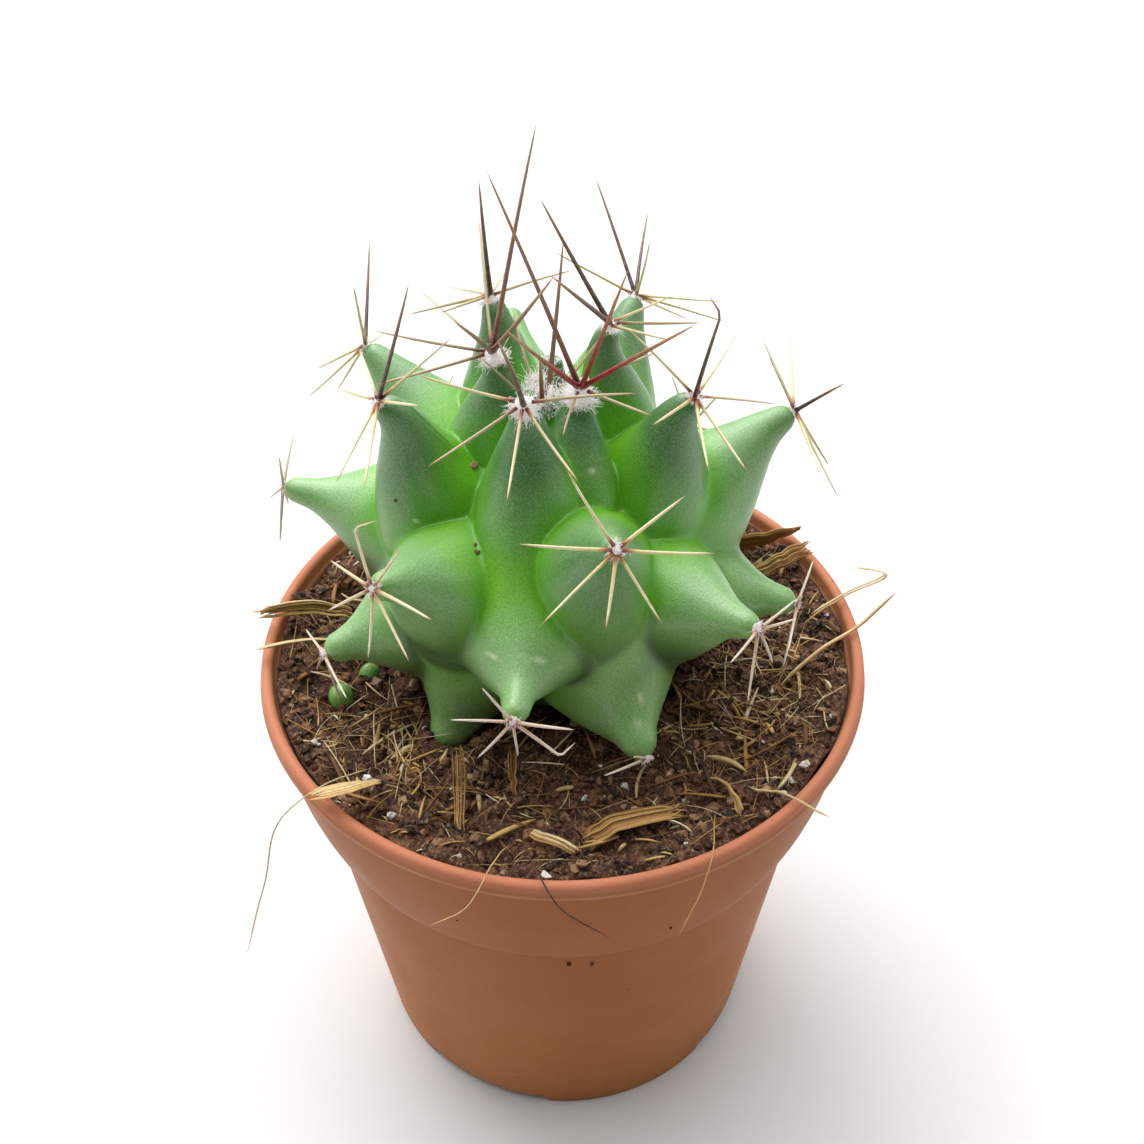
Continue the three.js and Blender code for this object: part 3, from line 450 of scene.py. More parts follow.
def frames(paths):
    """For each path, two unit vectors across it at each point, from one fixed vector per path."""
    along = unit(np.gradient(paths, axis=1))
    mean = unit(paths[:, -1] - paths[:, 0])
    least = np.argmin(np.abs(mean), axis=1)
    fixed = np.eye(3)[least][:, None, :]
    across = unit(np.cross(along, np.broadcast_to(fixed, along.shape)))
    return across, np.cross(along, across)


def ring_angles(count):
    """Even angles round a full turn."""
    return np.arange(count) * 2 * np.pi / count


def closed_grid(rows, columns):
    """Rings joined in a grid, with a many-sided cap over the first ring and over the last."""
    ring = np.arange(columns)
    return [grid(rows, columns), ring[::-1][None], (rows - 1) * columns + ring[None]]


def turned(across, other, angle):
    """Two crossed vectors turned by an angle in their own plane."""
    c, s = np.cos(angle), np.sin(angle)
    return across * c + other * s, other * c - across * s


def tubes(paths, half_width, half_thick, sides, twist=0):
    """Closed tubes: an ellipse of half_width by half_thick carried along each path, capped at both ends.

    paths is (count, steps, 3); the widths are (count, steps). Returns points, polygons and each point's
    share of the way along its path."""
    count, steps, _ = paths.shape
    along = np.linspace(0, 1, steps)
    across, other = frames(paths)
    wide, thin = turned(across[:, :, None], other[:, :, None], (twist * along)[None, :, None, None])
    turn = ring_angles(sides)
    ring = (wide * (half_width[:, :, None] * np.cos(turn))[..., None]
            + thin * (half_thick[:, :, None] * np.sin(turn))[..., None])
    points = paths[:, :, None, :] + ring
    first = np.arange(count) * steps * sides
    quads = (first[:, None, None] + grid(steps, sides)[None]).reshape(-1, 4)
    caps = np.concatenate([first[:, None] + np.arange(sides)[::-1][None],
                           first[:, None] + (steps - 1) * sides + np.arange(sides)[None]])
    share = np.broadcast_to(along[None, :, None], (count, steps, sides))
    return points.reshape(-1, 3), [quads, caps], share.ravel()


def curve_through(points, steps):
    """Catmull-Rom curve through a short list of points, at even parameter steps."""
    p = np.asarray(points, dtype=float)
    p = np.vstack([2 * p[0] - p[1], p, 2 * p[-1] - p[-2]])
    t = np.linspace(0, len(p) - 3 - 1e-9, steps)
    i = np.floor(t).astype(int)
    f = (t - i)[:, None]
    a, b, c, d = p[i], p[i + 1], p[i + 2], p[i + 3]
    return 0.5 * (2 * b + (c - a) * f + (2 * a - 5 * b + 4 * c - d) * f ** 2
                  + (3 * b - a - 3 * c + d) * f ** 3)


def srgb(value):
    """An sRGB hex colour as linear red, green, blue and alpha."""
    parts = [int(value[i:i + 2], 16) / 255 for i in (1, 3, 5)]
    return [c / 12.92 if c <= 0.04045 else ((c + 0.055) / 1.055) ** 2.4 for c in parts] + [1.0]


def add(owner, kind, settings=None, output=0):
    """Adds a node with its settings and links to a material or world, and returns one of its outputs.

    A setting is a property or an input of the node. Another node's output is linked to it, a text such as
    "#ffffff" is an sRGB colour, and "stops" gives a colour ramp as (place, grey or colour)."""
    node = owner.node_tree.nodes.new(kind)
    for key, value in (settings or {}).items():
        if key == "stops":
            elements = node.color_ramp.elements
            while len(elements) < len(value):
                elements.new(0.5)
            for element, (place, colour) in zip(elements, value):
                element.position = place
                element.color = srgb(colour) if isinstance(colour, str) else (colour, colour, colour, 1)
        elif isinstance(value, bpy.types.NodeSocket):
            owner.node_tree.links.new(value, node.inputs[key])
        elif isinstance(key, int) or key in node.inputs:
            node.inputs[key].default_value = srgb(value) if isinstance(value, str) else value
        else:
            setattr(node, key, value)
    return node.outputs[output] if node.outputs else None


# Materials

def begin(name, attributes=(), noises=()):
    """A new material, then as sockets the place on its object, its mesh attributes and its noises.

    Each noise is (size of its features in mm, detail, roughness)."""
    material = bpy.data.materials.new(name)
    material.use_nodes = True
    material.node_tree.nodes.clear()
    place = add(material, "ShaderNodeTexCoord", output="Object")
    fields = [add(material, "ShaderNodeAttribute", {"attribute_name": key}, "Fac") for key in attributes]
    for size, detail, roughness in noises:
        settings = {"Vector": place, "Scale": 1 / (size * MM), "Detail": detail, "Roughness": roughness}
        fields.append(add(material, "ShaderNodeTexNoise", settings, "Fac"))
    return [material, place] + fields


def layered(material, colour, *layers):
    """Lays colours over a colour, each as (field, stops, colour): stops turn the field into its share."""
    for field, stops, over in layers:
        share = add(material, RAMP, {"Fac": field, "stops": stops}) if stops else field
        colour = add(material, MIX, {"data_type": "RGBA", SHARE: share, UNDER: colour, OVER: over}, RESULT)
    return colour


def finished(material, colour, bumps=(), **settings):
    """Gives a material its shader. Bumps are (height, depth in mm, strength), each on the one before."""
    settings = {key.replace("_", " "): value for key, value in settings.items()}
    for height, depth, strength in bumps:
        below = {"Normal": settings["Normal"]} if "Normal" in settings else {}
        relief = {"Height": height, "Distance": depth * MM, "Strength": strength, **below}
        settings["Normal"] = add(material, "ShaderNodeBump", relief, "Normal")
    shader = add(material, "ShaderNodeBsdfPrincipled", {"Base Color": colour, **settings}, "BSDF")
    add(material, "ShaderNodeOutputMaterial", {"Surface": shader})
    return material


def polypropylene():
    """Injection-moulded polypropylene, terracotta brown: satin, a little dusty, lighter at the foot and on
    the lip.

    The pale line near the top is the moulding's flash under the lip, painted paler as a highlight along its
    thin ridge."""
    m, place, cloud, dust, specks, grain = begin(
        "moulded_polypropylene_terracotta", (), ((9, 4, 0.5), (0.8, 6, 0.7), (0.7, 2, 0.5), (0.35, 3, 0.5)))
    height = add(m, "ShaderNodeSeparateXYZ", {"Vector": place}, "Z")
    height = add(m, "ShaderNodeMapRange", {"Value": height, "From Min": 0.0, "From Max": POT_HEIGHT * MM})
    # Lighter at the foot and on the lip; the pale band just under the lip is the flash line, paler as a
    # painted highlight on its ridge
    tone = add(m, RAMP, {"Fac": height, "stops": [
        (0.0, "#b4733f"), (0.55, "#a46337"), (0.966, "#a06138"), (0.9715, "#d6a284"), (0.977, "#ae6f4a"),
        (1.0, "#c27f62")]})
    tone = layered(m, tone, (cloud, [(0.35, 0.0), (0.75, 0.35)], "#985a31"),
                   (dust, [(0.6, 0.0), (0.8, 0.18)], "#c79a7c"),
                   (specks, [(0.74, 0.0), (0.78, 0.6)], "#553322"))
    satin = add(m, RAMP, {"Fac": cloud, "stops": [(0.3, 0.38), (0.7, 0.5)]})
    return finished(m, tone, [(grain, 0.012, 1)], Roughness=satin, IOR=1.49, Specular_IOR_Level=0.07,
                    Subsurface_Weight=0.08, Subsurface_Scale=0.001)


def cactus_skin():
    """Cactus epidermis: waxy, with pale breathing pores, yellow-green where it grows and in the furrows, with
    a painted sheen where it faces up and painted shade on its low under sides.

    Its pores are drawn PORE_SPACING apart, coarser than real ones, so that they show."""
    m, place, rise, youth, bloom, glow, furrow, under, scar, cloud, blotch = begin(
        "cactus_epidermis", ("rise", "youth", "bloom", "glow", "furrow", "under", "scar"),
        ((5, 4, 0.5), (3.2, 5, 0.75)))
    pores = add(m, "ShaderNodeTexVoronoi", {"Vector": place, "Scale": 1 / (PORE_SPACING * MM)}, "Distance")
    old, young = [add(m, RAMP, {"Fac": rise, "stops": stops}) for stops in (
        [(0.0, "#78bc38"), (0.3, "#82ba58"), (0.5, "#86b66e"), (0.85, "#84b468"), (1.0, "#7dab55")],
        [(0.0, "#68b81c"), (0.3, "#60a034"), (0.55, "#4c8040"), (1.0, "#447a3c")])]
    growing = layered(m, "#7cc41c", (youth, None, "#74be18"))
    flesh = layered(m, old, (youth, None, young),
                    (cloud, [(0.4, 0.0), (0.75, 0.22)], "#9cbf8a"),
                    # Painted sheen: the skin is paler where it faces up
                    (bloom, [(0.55, 0.0), (1.0, 0.2)], "#c6e4be"),
                    (pores, [(0.1, 0.27), (0.4, 0.0)], "#d6e6c8"),
                    (glow, [(0.0, 0.0), (1.0, 0.85)], growing),
                    (furrow, [(0.1, 0.0), (0.4, 0.6), (0.8, 1.0)], "#62b000"),
                    # Painted shade: dark green on the low under sides, necks and furrows
                    (under, [(0.0, 0.0), (1.0, 0.9)], "#426236"))
    stipple = add(m, RAMP, {"Fac": pores, "stops": [(0.1, "#ffffff"), (0.5, "#eef4ec"), (0.8, "#dae6d4")]})
    stippling = {"data_type": "RGBA", "blend_type": "MULTIPLY", SHARE: 1.0, UNDER: flesh, OVER: stipple}
    flesh = add(m, MIX, stippling, RESULT)
    flesh = layered(m, flesh, (blotch, [(0.71, 0.0), (0.78, 0.55)], "#c9c2a0"),
                    (scar, [(0.2, 0.0), (0.75, 0.55)], "#d8e2bc"))
    wax = add(m, RAMP, {"Fac": cloud, "stops": [(0.3, 0.36), (0.7, 0.5)]})
    return finished(m, flesh, [(cloud, 0.2, 0.5), (pores, 0.03, 0.6)], Roughness=wax, IOR=1.42,
                    Specular_IOR_Level=0.8, Subsurface_Weight=0.25, Subsurface_Scale=0.0012,
                    Subsurface_Radius=(0.5, 1.0, 0.2), Coat_Weight=0.3, Coat_Roughness=0.28)


def spine_horn():
    """Spine: dry horn, dark red to brown when young, cream and tan on the radials, red-brown at the root."""
    m, _, along, tone, red, old, streak = begin(
        "spine_horn", ("along", "tone", "red", "old"), ((0.6, 3, 0.5),))
    pale, aged, dark, ruby = [add(m, RAMP, {"Fac": along, "stops": stops}) for stops in (
        [(0.0, "#7c3a22"), (0.07, "#a9683a"), (0.17, "#e0d198"), (0.8, "#efe6c0"), (1.0, "#c09a6c")],
        [(0.0, "#9a6248"), (0.1, "#d3b9a4"), (1.0, "#e9ddd0")],
        [(0.0, "#3a2326"), (0.3, "#55393a"), (0.65, "#7d5a44"), (1.0, "#b08a62")],
        [(0.0, "#8c1029"), (0.3, "#a52233"), (0.55, "#9c6048"), (1.0, "#bd9674")])]
    colour = layered(m, pale, (old, None, aged), (tone, None, dark), (red, None, ruby),
                     (streak, [(0.45, 0.0), (0.7, 0.25)], "#b99a6a"))
    return finished(m, colour, Roughness=0.42, IOR=1.54, Subsurface_Weight=0.15, Subsurface_Scale=0.0004)


def areole_wool():
    """Areole wool: soft white plant hairs, faintly pink, greyer on old areoles, with a faint painted glow for
    the light scattered through them.
    """
    m, _, old, tuft = begin("areole_wool", ("old",), ((0.5, 2, 0.5),))
    colour = layered(m, "#fffcfa", (old, None, "#ead9cc"), (tuft, [(0.45, 0.0), (0.8, 0.3)], "#e0b9b2"))
    # Faint emission: a painted glow for the light the hairs scatter
    return finished(m, colour, Roughness=0.9, Sheen_Weight=1.0, Sheen_Roughness=0.6, Subsurface_Weight=0.8,
                    Subsurface_Scale=0.002, Subsurface_Radius=(1.0, 0.9, 0.9), Emission_Color="#fff2ee",
                    Emission_Strength=0.16)


def peat():
    """Peat and composted bark: dark brown, crumbly, matte, with lighter dry grains and painted shade in the
    gaps between crumbs.
    """
    m, _, shade, lumps, grains = begin("peat_and_bark", ("shade",), ((1.6, 6, 0.65), (0.35, 5, 0.7)))
    colour = add(m, RAMP, {"Fac": shade, "stops": [
        (0.05, "#21140d"), (0.35, "#50311f"), (0.55, "#754c34"), (0.75, "#94694a"), (0.95, "#b39676")]})
    colour = layered(m, colour, (lumps, [(0.5, 0.0), (0.72, 0.5)], "#6b3a28"),
                     (grains, [(0.52, 0.0), (0.64, 0.65)], "#a3845f"),
                     # Near black where the fine bump is low: painted shade in the gaps between crumbs
                     (grains, [(0.36, 0.85), (0.48, 0.0)], "#140d0a"))
    return finished(m, colour, [(lumps, 0.5, 0.7), (grains, 0.2, 1)], Roughness=0.88)


def dried_straw():
    """Dried straw, roots and bark fibre: matte, streaked along its length, pale gold to dark brown."""
    m, _, tone, streak = begin("dried_straw", ("tone",), ((0.5, 4, 0.7),))
    colour = add(m, RAMP, {"Fac": tone, "stops": [
        (0.0, "#e2d4b2"), (0.3, "#cba765"), (0.6, "#94642f"), (1.0, "#452a1c")]})
    colour = layered(m, colour, (streak, [(0.45, 0.0), (0.75, 0.4)], "#805c3a"))
    return finished(m, colour, [(streak, 0.06, 0.6)], Roughness=0.75)


def perlite():
    """Expanded perlite: white, porous, matte grains."""
    m, _, pores = begin("perlite", (), ((0.3, 3, 0.5),))
    colour = add(m, RAMP, {"Fac": pores, "stops": [(0.35, "#a89f93"), (0.6, "#e9e5de")]})
    return finished(m, colour, [(pores, 0.08, 0.6)], Roughness=0.8)


# Plant surface

def tubercle(age):
    """The tip, the base's direction, the half-widths and the outline of one tubercle, by its age."""
    turn, out, lift = TIP_NUDGE.get(age, (0, 0, 0))
    azimuth = math.radians(FIRST_AZIMUTH + DIVERGENCE * age + turn)
    away = between(TIP_FROM_AXIS, age) + out
    tip = np.array([away * math.cos(azimuth), away * math.sin(azimuth),
                    between(TIP_HEIGHT, age) + lift - BODY_CENTRE[2]])
    reach = np.linalg.norm(tip)
    aim = tip / reach
    round_by, up_by, widen, lower, upper = BASE_NUDGE.get(age, (0, 0, 1, LOWER_STRETCH, 1))
    tip_elevation = math.degrees(math.asin(aim[2]))
    base_elevation = math.radians(tip_elevation - 3 if age < 0 else between(BASE_ELEVATION, age) + up_by)
    base_azimuth = azimuth + math.radians(round_by)
    base = direction(base_azimuth, base_elevation)
    east = np.array([-math.sin(base_azimuth), math.cos(base_azimuth), 0])
    width = between(BASE_HALF_WIDTH, age) * widen
    tip_width = min(between(TIP_HALF_WIDTH, age), width * 0.7)
    one = {"age": age, "aim": aim, "base": base, "east": east, "north": np.cross(base, east), "reach": reach,
           "width": width, "tip_width": tip_width, "bulge": between(BULGE, age), "neck": between(NECK, age),
           "share": between(NECK_SHARE, age), "corner": between(CORNER, age), "lower": lower}
    shift = np.array(chart(one, aim[None])).ravel()
    one["shift"] = shift
    one["upper"] = max(upper, (np.hypot(*shift) * SIDE_RADIUS * SIDE_MARGIN + tip_width) / width)
    return one


def chart(one, d):
    """Flat chart about the tubercle's base: east and north angles of each direction."""
    x, y = d @ one["east"], d @ one["north"]
    h = np.hypot(x, y) + 1e-9
    angle = np.arccos(np.clip(d @ one["base"], -1, 1))
    return x / h * angle, y / h * angle


def outside(one, u, v, h):
    """How far a direction lies outside the tubercle's cross-section at height h, as a share of its width.

    The cross-section is a rounded rhomb at the base and a circle at the neck; its centre slides there."""
    height = one["reach"] - CORE_RADIUS
    radius = CORE_RADIUS + h * height
    slide = smooth(h / SLIDE_END)
    share = one["share"] * (1 - smooth(h / one["neck"])) + (1 - one["share"]) * (1 - h ** one["bulge"])
    width = one["tip_width"] + (one["width"] - one["tip_width"]) * share
    cap = np.clip(1 - (1 - h) * height / one["tip_width"], 0, 1)
    width = width * np.sqrt(np.maximum(1e-6, 1 - cap ** 2))
    du, dv = u - one["shift"][0] * slide, v - one["shift"][1] * slide
    stretch = np.where(dv < 0, 1 + (one["lower"] - 1) * (1 - h), 1 + (one["upper"] - 1) * (1 - h))
    power = 2 + (one["corner"] - 2) * (1 - h)
    away = (np.abs(du) ** power + np.abs(dv / stretch) ** power + 1e-12) ** (1 / power)
    return away * radius / width - 1


def reach_along(one, d):
    """Distance from the body's centre to the tubercle's skin along each direction d.

    The last tested height at which a direction is inside is found first, then halved to a fine step."""
    result = np.full(len(d), CORE_RADIUS - BURIED)
    near = d @ one["base"] > FACING
    u, v = chart(one, d[near])
    levels = 1 - (1 - np.linspace(0, 1, TEST_HEIGHTS)) ** 1.6
    first = outside(one, u, v, np.zeros(len(u)))
    low, high = np.zeros(len(u)), np.zeros(len(u))
    inside_before = first < 0
    for before, level in zip(levels[:-1], levels[1:]):
        inside = outside(one, u, v, np.full(len(u), level)) < 0
        crossed = inside_before & ~inside
        low, high = np.where(crossed, before, low), np.where(crossed, level, high)
        inside_before = inside
    for _ in range(HALVINGS):
        middle = (low + high) / 2
        inside = outside(one, u, v, middle) < 0
        low, high = np.where(inside, middle, low), np.where(inside, high, middle)
    found = CORE_RADIUS + low * (one["reach"] - CORE_RADIUS)
    result[near] = np.where(high > 0, found, CORE_RADIUS - 3 * np.clip(first, 0, 1.5))
    return result


def softened(reaches, softness):
    """Largest of the reaches, with the corners between them rounded off."""
    most = reaches.max(axis=0)
    return most + softness * np.log(np.exp((reaches - most) / softness).sum(axis=0))


def body_radius(d, wanted=False):
    """Softened union of the core, its lower swelling and the ribs, as a distance along each direction.

    Tubercles RIB_SPAN apart stand in one rib and join in a soft saddle; between ribs the furrows are sharp.
    With wanted it also gives the reach of each tubercle, and the reaches of the core and each rib."""
    reaches = {age: reach_along(tubercle(age), d) for age in AGES}
    ribs = [softened(np.stack([reaches[age] for age in AGES if age % RIB_SPAN == rib]), SADDLE_SOFTNESS)
            for rib in range(RIB_SPAN)]
    core = CORE_RADIUS + SWELLING * smooth((-0.2 - d[:, 2]) / 0.4)
    rows = np.stack([core] + ribs)
    radius = softened(rows, FURROW_SOFTNESS)
    return (radius, reaches, rows) if wanted else radius


def flesh_fields(d):
    """Skin radius along each direction, with what its colour follows.

    rise: share of the way up the tubercle; furrow: closeness to a sharp furrow; glow: how far the skin is
    young tissue on the crown side of a base or in a saddle; youth: 1 at the crown, 0 on old tubercles;
    under: painted shade on the under sides near the soil, in the low furrows and in the necks of old
    tubercles."""
    radius, reaches, rows = body_radius(d, wanted=True)
    table = np.stack([reaches[age] for age in AGES])
    ages = np.array(AGES, dtype=float)[:, None]
    owner = table.argmax(axis=0)
    same_rib = (ages - ages[owner, 0]) % RIB_SPAN == 0
    weight = np.where(same_rib, np.exp((table - table.max(axis=0)) / 1.1), 0)
    weight = weight / weight.sum(axis=0)
    rise, north = np.zeros_like(table), np.zeros_like(table)
    for i, age in enumerate(AGES):
        one = tubercle(age)
        rise[i] = np.clip((radius - CORE_RADIUS - 1) / (one["reach"] - CORE_RADIUS - 1), 0, 1)
        north[i] = chart(one, d)[1] * CORE_RADIUS / one["width"]
    second = np.sort(rows, axis=0)[-2]
    furrow = np.exp(-np.maximum(rows.max(axis=0) - second, 0) / 0.9)
    upper = (smooth((north + 0.15) / 1.1) * smooth((0.55 - rise) / 0.45) * weight).sum(axis=0)
    saddle = 1 - (weight ** 2).sum(axis=0)
    rise, north, ages = ((values * weight).sum(axis=0) for values in (rise, north, ages))
    # Painted shade near the soil: under darkens the bellies, the necks of old tubercles and the low furrows,
    # and glow and furrow colour fade there
    low = smooth((PAINTED_SHADE_HEIGHT - BODY_CENTRE[2] - d[:, 2] * radius) / 6)
    belly = smooth((0.75 - rise) / 0.45) * smooth((0.4 - north) / 0.6)
    lowest = smooth((ages - PAINTED_SHADE_AGE) / 1.5)
    neck = smooth((north - 0.5) / 0.4)
    under = low * np.maximum(belly + (neck - belly) * lowest, smooth(furrow / 0.7))
    glow = np.clip(upper + saddle * smooth((0.6 - rise) / 0.4), 0, 1) * (1 - 0.8 * low)
    furrow = furrow * (1 - 0.7 * low)
    return radius, {"rise": rise, "furrow": furrow, "glow": glow, "youth": 1 - smooth((ages - 4) / 11),
                    "under": under}


def scarring(points):
    """Closeness to a healed scratch or spot: 1 on the line between its two ends, 0 a few half widths away."""
    closeness = np.zeros(len(points))
    for start, end, half in SCARS:
        start, line = np.array(start), np.array(end) - start
        share = np.clip((points - start) @ line / max(line @ line, 1e-6), 0, 1)
        away = np.linalg.norm(points - start - share[:, None] * line, axis=1)
        closeness = np.maximum(closeness, np.exp(-(away / half) ** 2))
    return closeness * (0.7 + 0.7 * noise(points, 0.4, 31))


def facing_up(points, outward):
    """Vertical part of the surface normal over a grid of points: the cross product of its two steps."""
    down = np.gradient(points, axis=0)
    along = np.roll(points, -1, axis=1) - np.roll(points, 1, axis=1)
    normal = unit(np.cross(down, along))
    return normal[..., 2] * np.sign((normal * outward).sum(axis=-1))


def globe(polar, around, tall=1):
    """Directions for rows of polar angles and columns of azimuths, stretched upwards by a factor."""
    p, a = np.meshgrid(polar, around, indexing="ij")
    return np.stack([np.sin(p) * np.cos(a), np.sin(p) * np.sin(a), tall * np.cos(p)], -1).reshape(-1, 3)


def build_flesh(settings):
    """Body surface: crown to root on a grid of azimuth and polar angle, each point at the skin's radius."""
    columns, rows = settings.columns, settings.rows
    polar = np.radians(np.concatenate([np.linspace(*SKIN_POLAR, rows - ROOT_ROWS),
                                       np.linspace(*ROOT_POLAR, ROOT_ROWS)]))
    d = globe(polar, ring_angles(columns))
    radius, fields = flesh_fields(d)
    points = BODY_CENTRE + d * radius[:, None]
    radius = radius + 0.06 * noise(points, 2.6, 3) + 0.025 * noise(points, 0.9, 4)
    polar = np.repeat(polar, columns)
    root = np.minimum(ROOT_LENGTH, ROOT_RADIUS / np.maximum(np.pi - polar, 1e-3))
    radius = np.where(polar > math.radians(ROOT_START), np.maximum(radius, root), radius)
    points = BODY_CENTRE + d * radius[:, None]
    top, bottom = len(points), len(points) + 1
    points = np.vstack([points, BODY_CENTRE + [0, 0, radius[:columns].mean()],
                        BODY_CENTRE - [0, 0, radius[-columns:].mean()]])
    k = np.arange(columns)
    n = (k + 1) % columns
    last = (rows - 1) * columns
    quads = grid(rows, columns)[:, ::-1]
    fans = np.concatenate([np.stack([np.full(columns, top), k, n], 1),
                           np.stack([np.full(columns, bottom), last + n, last + k], 1)])
    fields["scar"] = scarring(points[:-2])
    # Painted sheen: how far the skin faces up, which paints it paler there
    fields["bloom"] = facing_up(points[:-2].reshape(rows, columns, 3), d.reshape(rows, columns, 3)).ravel()
    poles = {key: [values[:columns].mean(), values[-columns:].mean()] for key, values in fields.items()}
    return mesh_object("cactus_flesh", points, [quads, fans],
                       {key: np.concatenate([values, poles[key]]) for key, values in fields.items()})


def build_stubs():
    """Two small round stubs of old tubercles in the soil: domes r(polar) = radius, taller than wide."""
    rings, sectors = 14, 20
    d = globe(np.radians(np.linspace(4, 176, rings)), ring_angles(sectors), 1.15)
    points, polygons = [], []
    for i, (place, radius) in enumerate(STUBS):
        points.append(place + d * radius * (1 + 0.06 * noise(d, 0.8, i))[:, None])
        polygons += [len(d) * i + p[:, ::-1] for p in closed_grid(rings, sectors)]
    polygons = [np.concatenate(polygons[0::3]), np.concatenate(polygons[1::3] + polygons[2::3])]
    points = np.concatenate(points)
    rise = np.clip((points[:, 2] - 46) / 1.5, 0, 1)
    return mesh_object("old_tubercle_stubs", points, polygons, {"rise": rise, "glow": 0.5 - 0.3 * rise})


# Spines and wool

def spine_axes(aim, spine):
    """A spine's direction, from its clock and lean about the tubercle's axis, and its length."""
    clock, lean, length = spine[:3]
    up = unit(np.array([0, 0, 1.0]) - aim * aim[2])
    right = np.cross(up, aim)
    c, l = math.radians(clock), math.radians(lean)
    return aim * math.cos(l) + up * math.sin(l) * math.cos(c) + right * math.sin(l) * math.sin(c), length


def spine_path(tip, aim, spine, seat, bow):
    """A spine's path from its seat in the cushion: bowed a little, broken aside if it has a fourth value."""
    along, length = spine_axes(aim, spine)
    kink = spine[3] if len(spine) > 3 else 0
    t = np.linspace(0, 1, SPINE_STEPS)[:, None]
    over = np.maximum(0, t - BREAK_PLACE) / BREAK_LENGTH
    forward = np.where(kink, np.minimum(t / BREAK_PLACE, 1), t)
    side = unit(np.cross(along, aim + 0.01))
    root = tip + aim * seat[0] + unit(along - aim * (along @ aim)) * seat[1]
    return root + (along * forward + side * kink * over + (aim * bow[0] + side * bow[1]) * t ** 2) * length


def star(age):
    """Radials of a tip that isn't seen: the usual star, each spine a little uneven."""
    return [(clock + 14 * (uneven(age, i) - 0.5), STAR_LEAN + 6 * (uneven(age, i + 20) - 0.5),
             STAR_LENGTH * (0.85 + 0.3 * uneven(age, i + 40))) for i, clock in enumerate(STAR_CLOCKS)]


def spine_width(thick, taper):
    """Half-width along a spine: a little swollen at the root, nearly even, then a fine point."""
    t = np.linspace(0, 1, SPINE_STEPS)
    return thick * (1 - taper * t + 0.2 * np.exp(-t * 22)) * np.sqrt(1 - t ** 5) + 0.012


def build_spines(name, age, tip, aim, centrals, radials, seats=(CENTRAL_SEAT, RADIAL_SEAT)):
    """One areole's spines: central ones thick and dark, radial ones thin and pale, redder on the youngest."""
    paths, widths, tones, reds = [], [], [], []
    young = 1 - smooth((age - 1) / 6)
    wool = 0.8 * float(between(WOOL_SIZE, age))
    seats = [(height * wool, away * wool) for height, away in seats]
    for i, spine in enumerate(centrals):
        bow = (0.06 * (uneven(age, i + 60) - 0.3), 0.08 * (uneven(age, i + 70) - 0.5))
        paths.append(spine_path(tip, aim, spine, seats[0], bow))
        widths.append(spine_width(CENTRAL_WIDTHS[0] if age < 5 else CENTRAL_WIDTHS[1], 0.55))
        tones.append(0.8 if age < 2 else 1.0)
        reds.append(1.0 if age == 0 and i > 0 else 0.25 if age <= 1 else 0.0)
    for i, spine in enumerate(radials):
        bow = (0.07 * (uneven(age, i + 80) - 0.6), 0.12 * (uneven(age, i + 90) - 0.5))
        paths.append(spine_path(tip, aim, spine, seats[1], bow))
        widths.append(spine_width(RADIAL_WIDTH + RADIAL_MORE * uneven(age, i + 50), 0.35))
        tones.append(0.5 * young * (0.4 + uneven(age, i + 30)))
        reds.append(0)
    paths = np.array(paths)
    points, polygons, share = tubes(paths, np.array(widths), np.array(widths), SPINE_SIDES)
    each = len(share) // len(paths)
    old = np.full(len(share), float(smooth((age - 9) / 5)))
    return mesh_object(name, points, polygons, {"along": share, "old": old, "tone": np.repeat(tones, each),
                                                "red": np.repeat(reds, each)})


def hairs_on(rng, centres, normals, length, spread, droop, thick):
    """Wool hairs: each leaves its place near the surface's normal, curls to one side and back, and droops."""
    count = len(centres)
    lean = unit(normals + rng.normal(0, spread, (count, 3)))
    size = length * (0.4 + 0.8 * rng.random(count))[:, None]
    curl, back = rng.normal(0, 0.8, (2, count, 3))
    along = np.linspace(0, 1, HAIR_STEPS)
    t = along[None, :, None]
    paths = centres[:, None] + size[:, None] * (lean[:, None] * t * 0.8 + curl[:, None] * t ** 2 * 0.6
                                                 + back[:, None] * (t ** 3 - t ** 2) * 1.4)
    paths[..., 2] -= droop * size * along ** 2
    width = np.broadcast_to(thick * (1 - 0.5 * along), (count, HAIR_STEPS))
    return tubes(paths, width, width, 3)[:2]


def about_tip(one, away, turn):
    """Places about a tubercle's tip, by distance and angle: their offsets from it, and body directions."""
    side = unit(np.cross(one["aim"], [0, 0, 1.0]))
    other = np.cross(one["aim"], side)
    flat = side * (away * np.cos(turn))[..., None] + other * (away * np.sin(turn))[..., None]
    return flat, unit(one["aim"] * one["reach"] + flat)


def over_skin(d, lift=0.0):
    """Points on the body's skin along directions d, lifted off it by so many mm."""
    return BODY_CENTRE + d * (body_radius(d) + lift)[:, None]


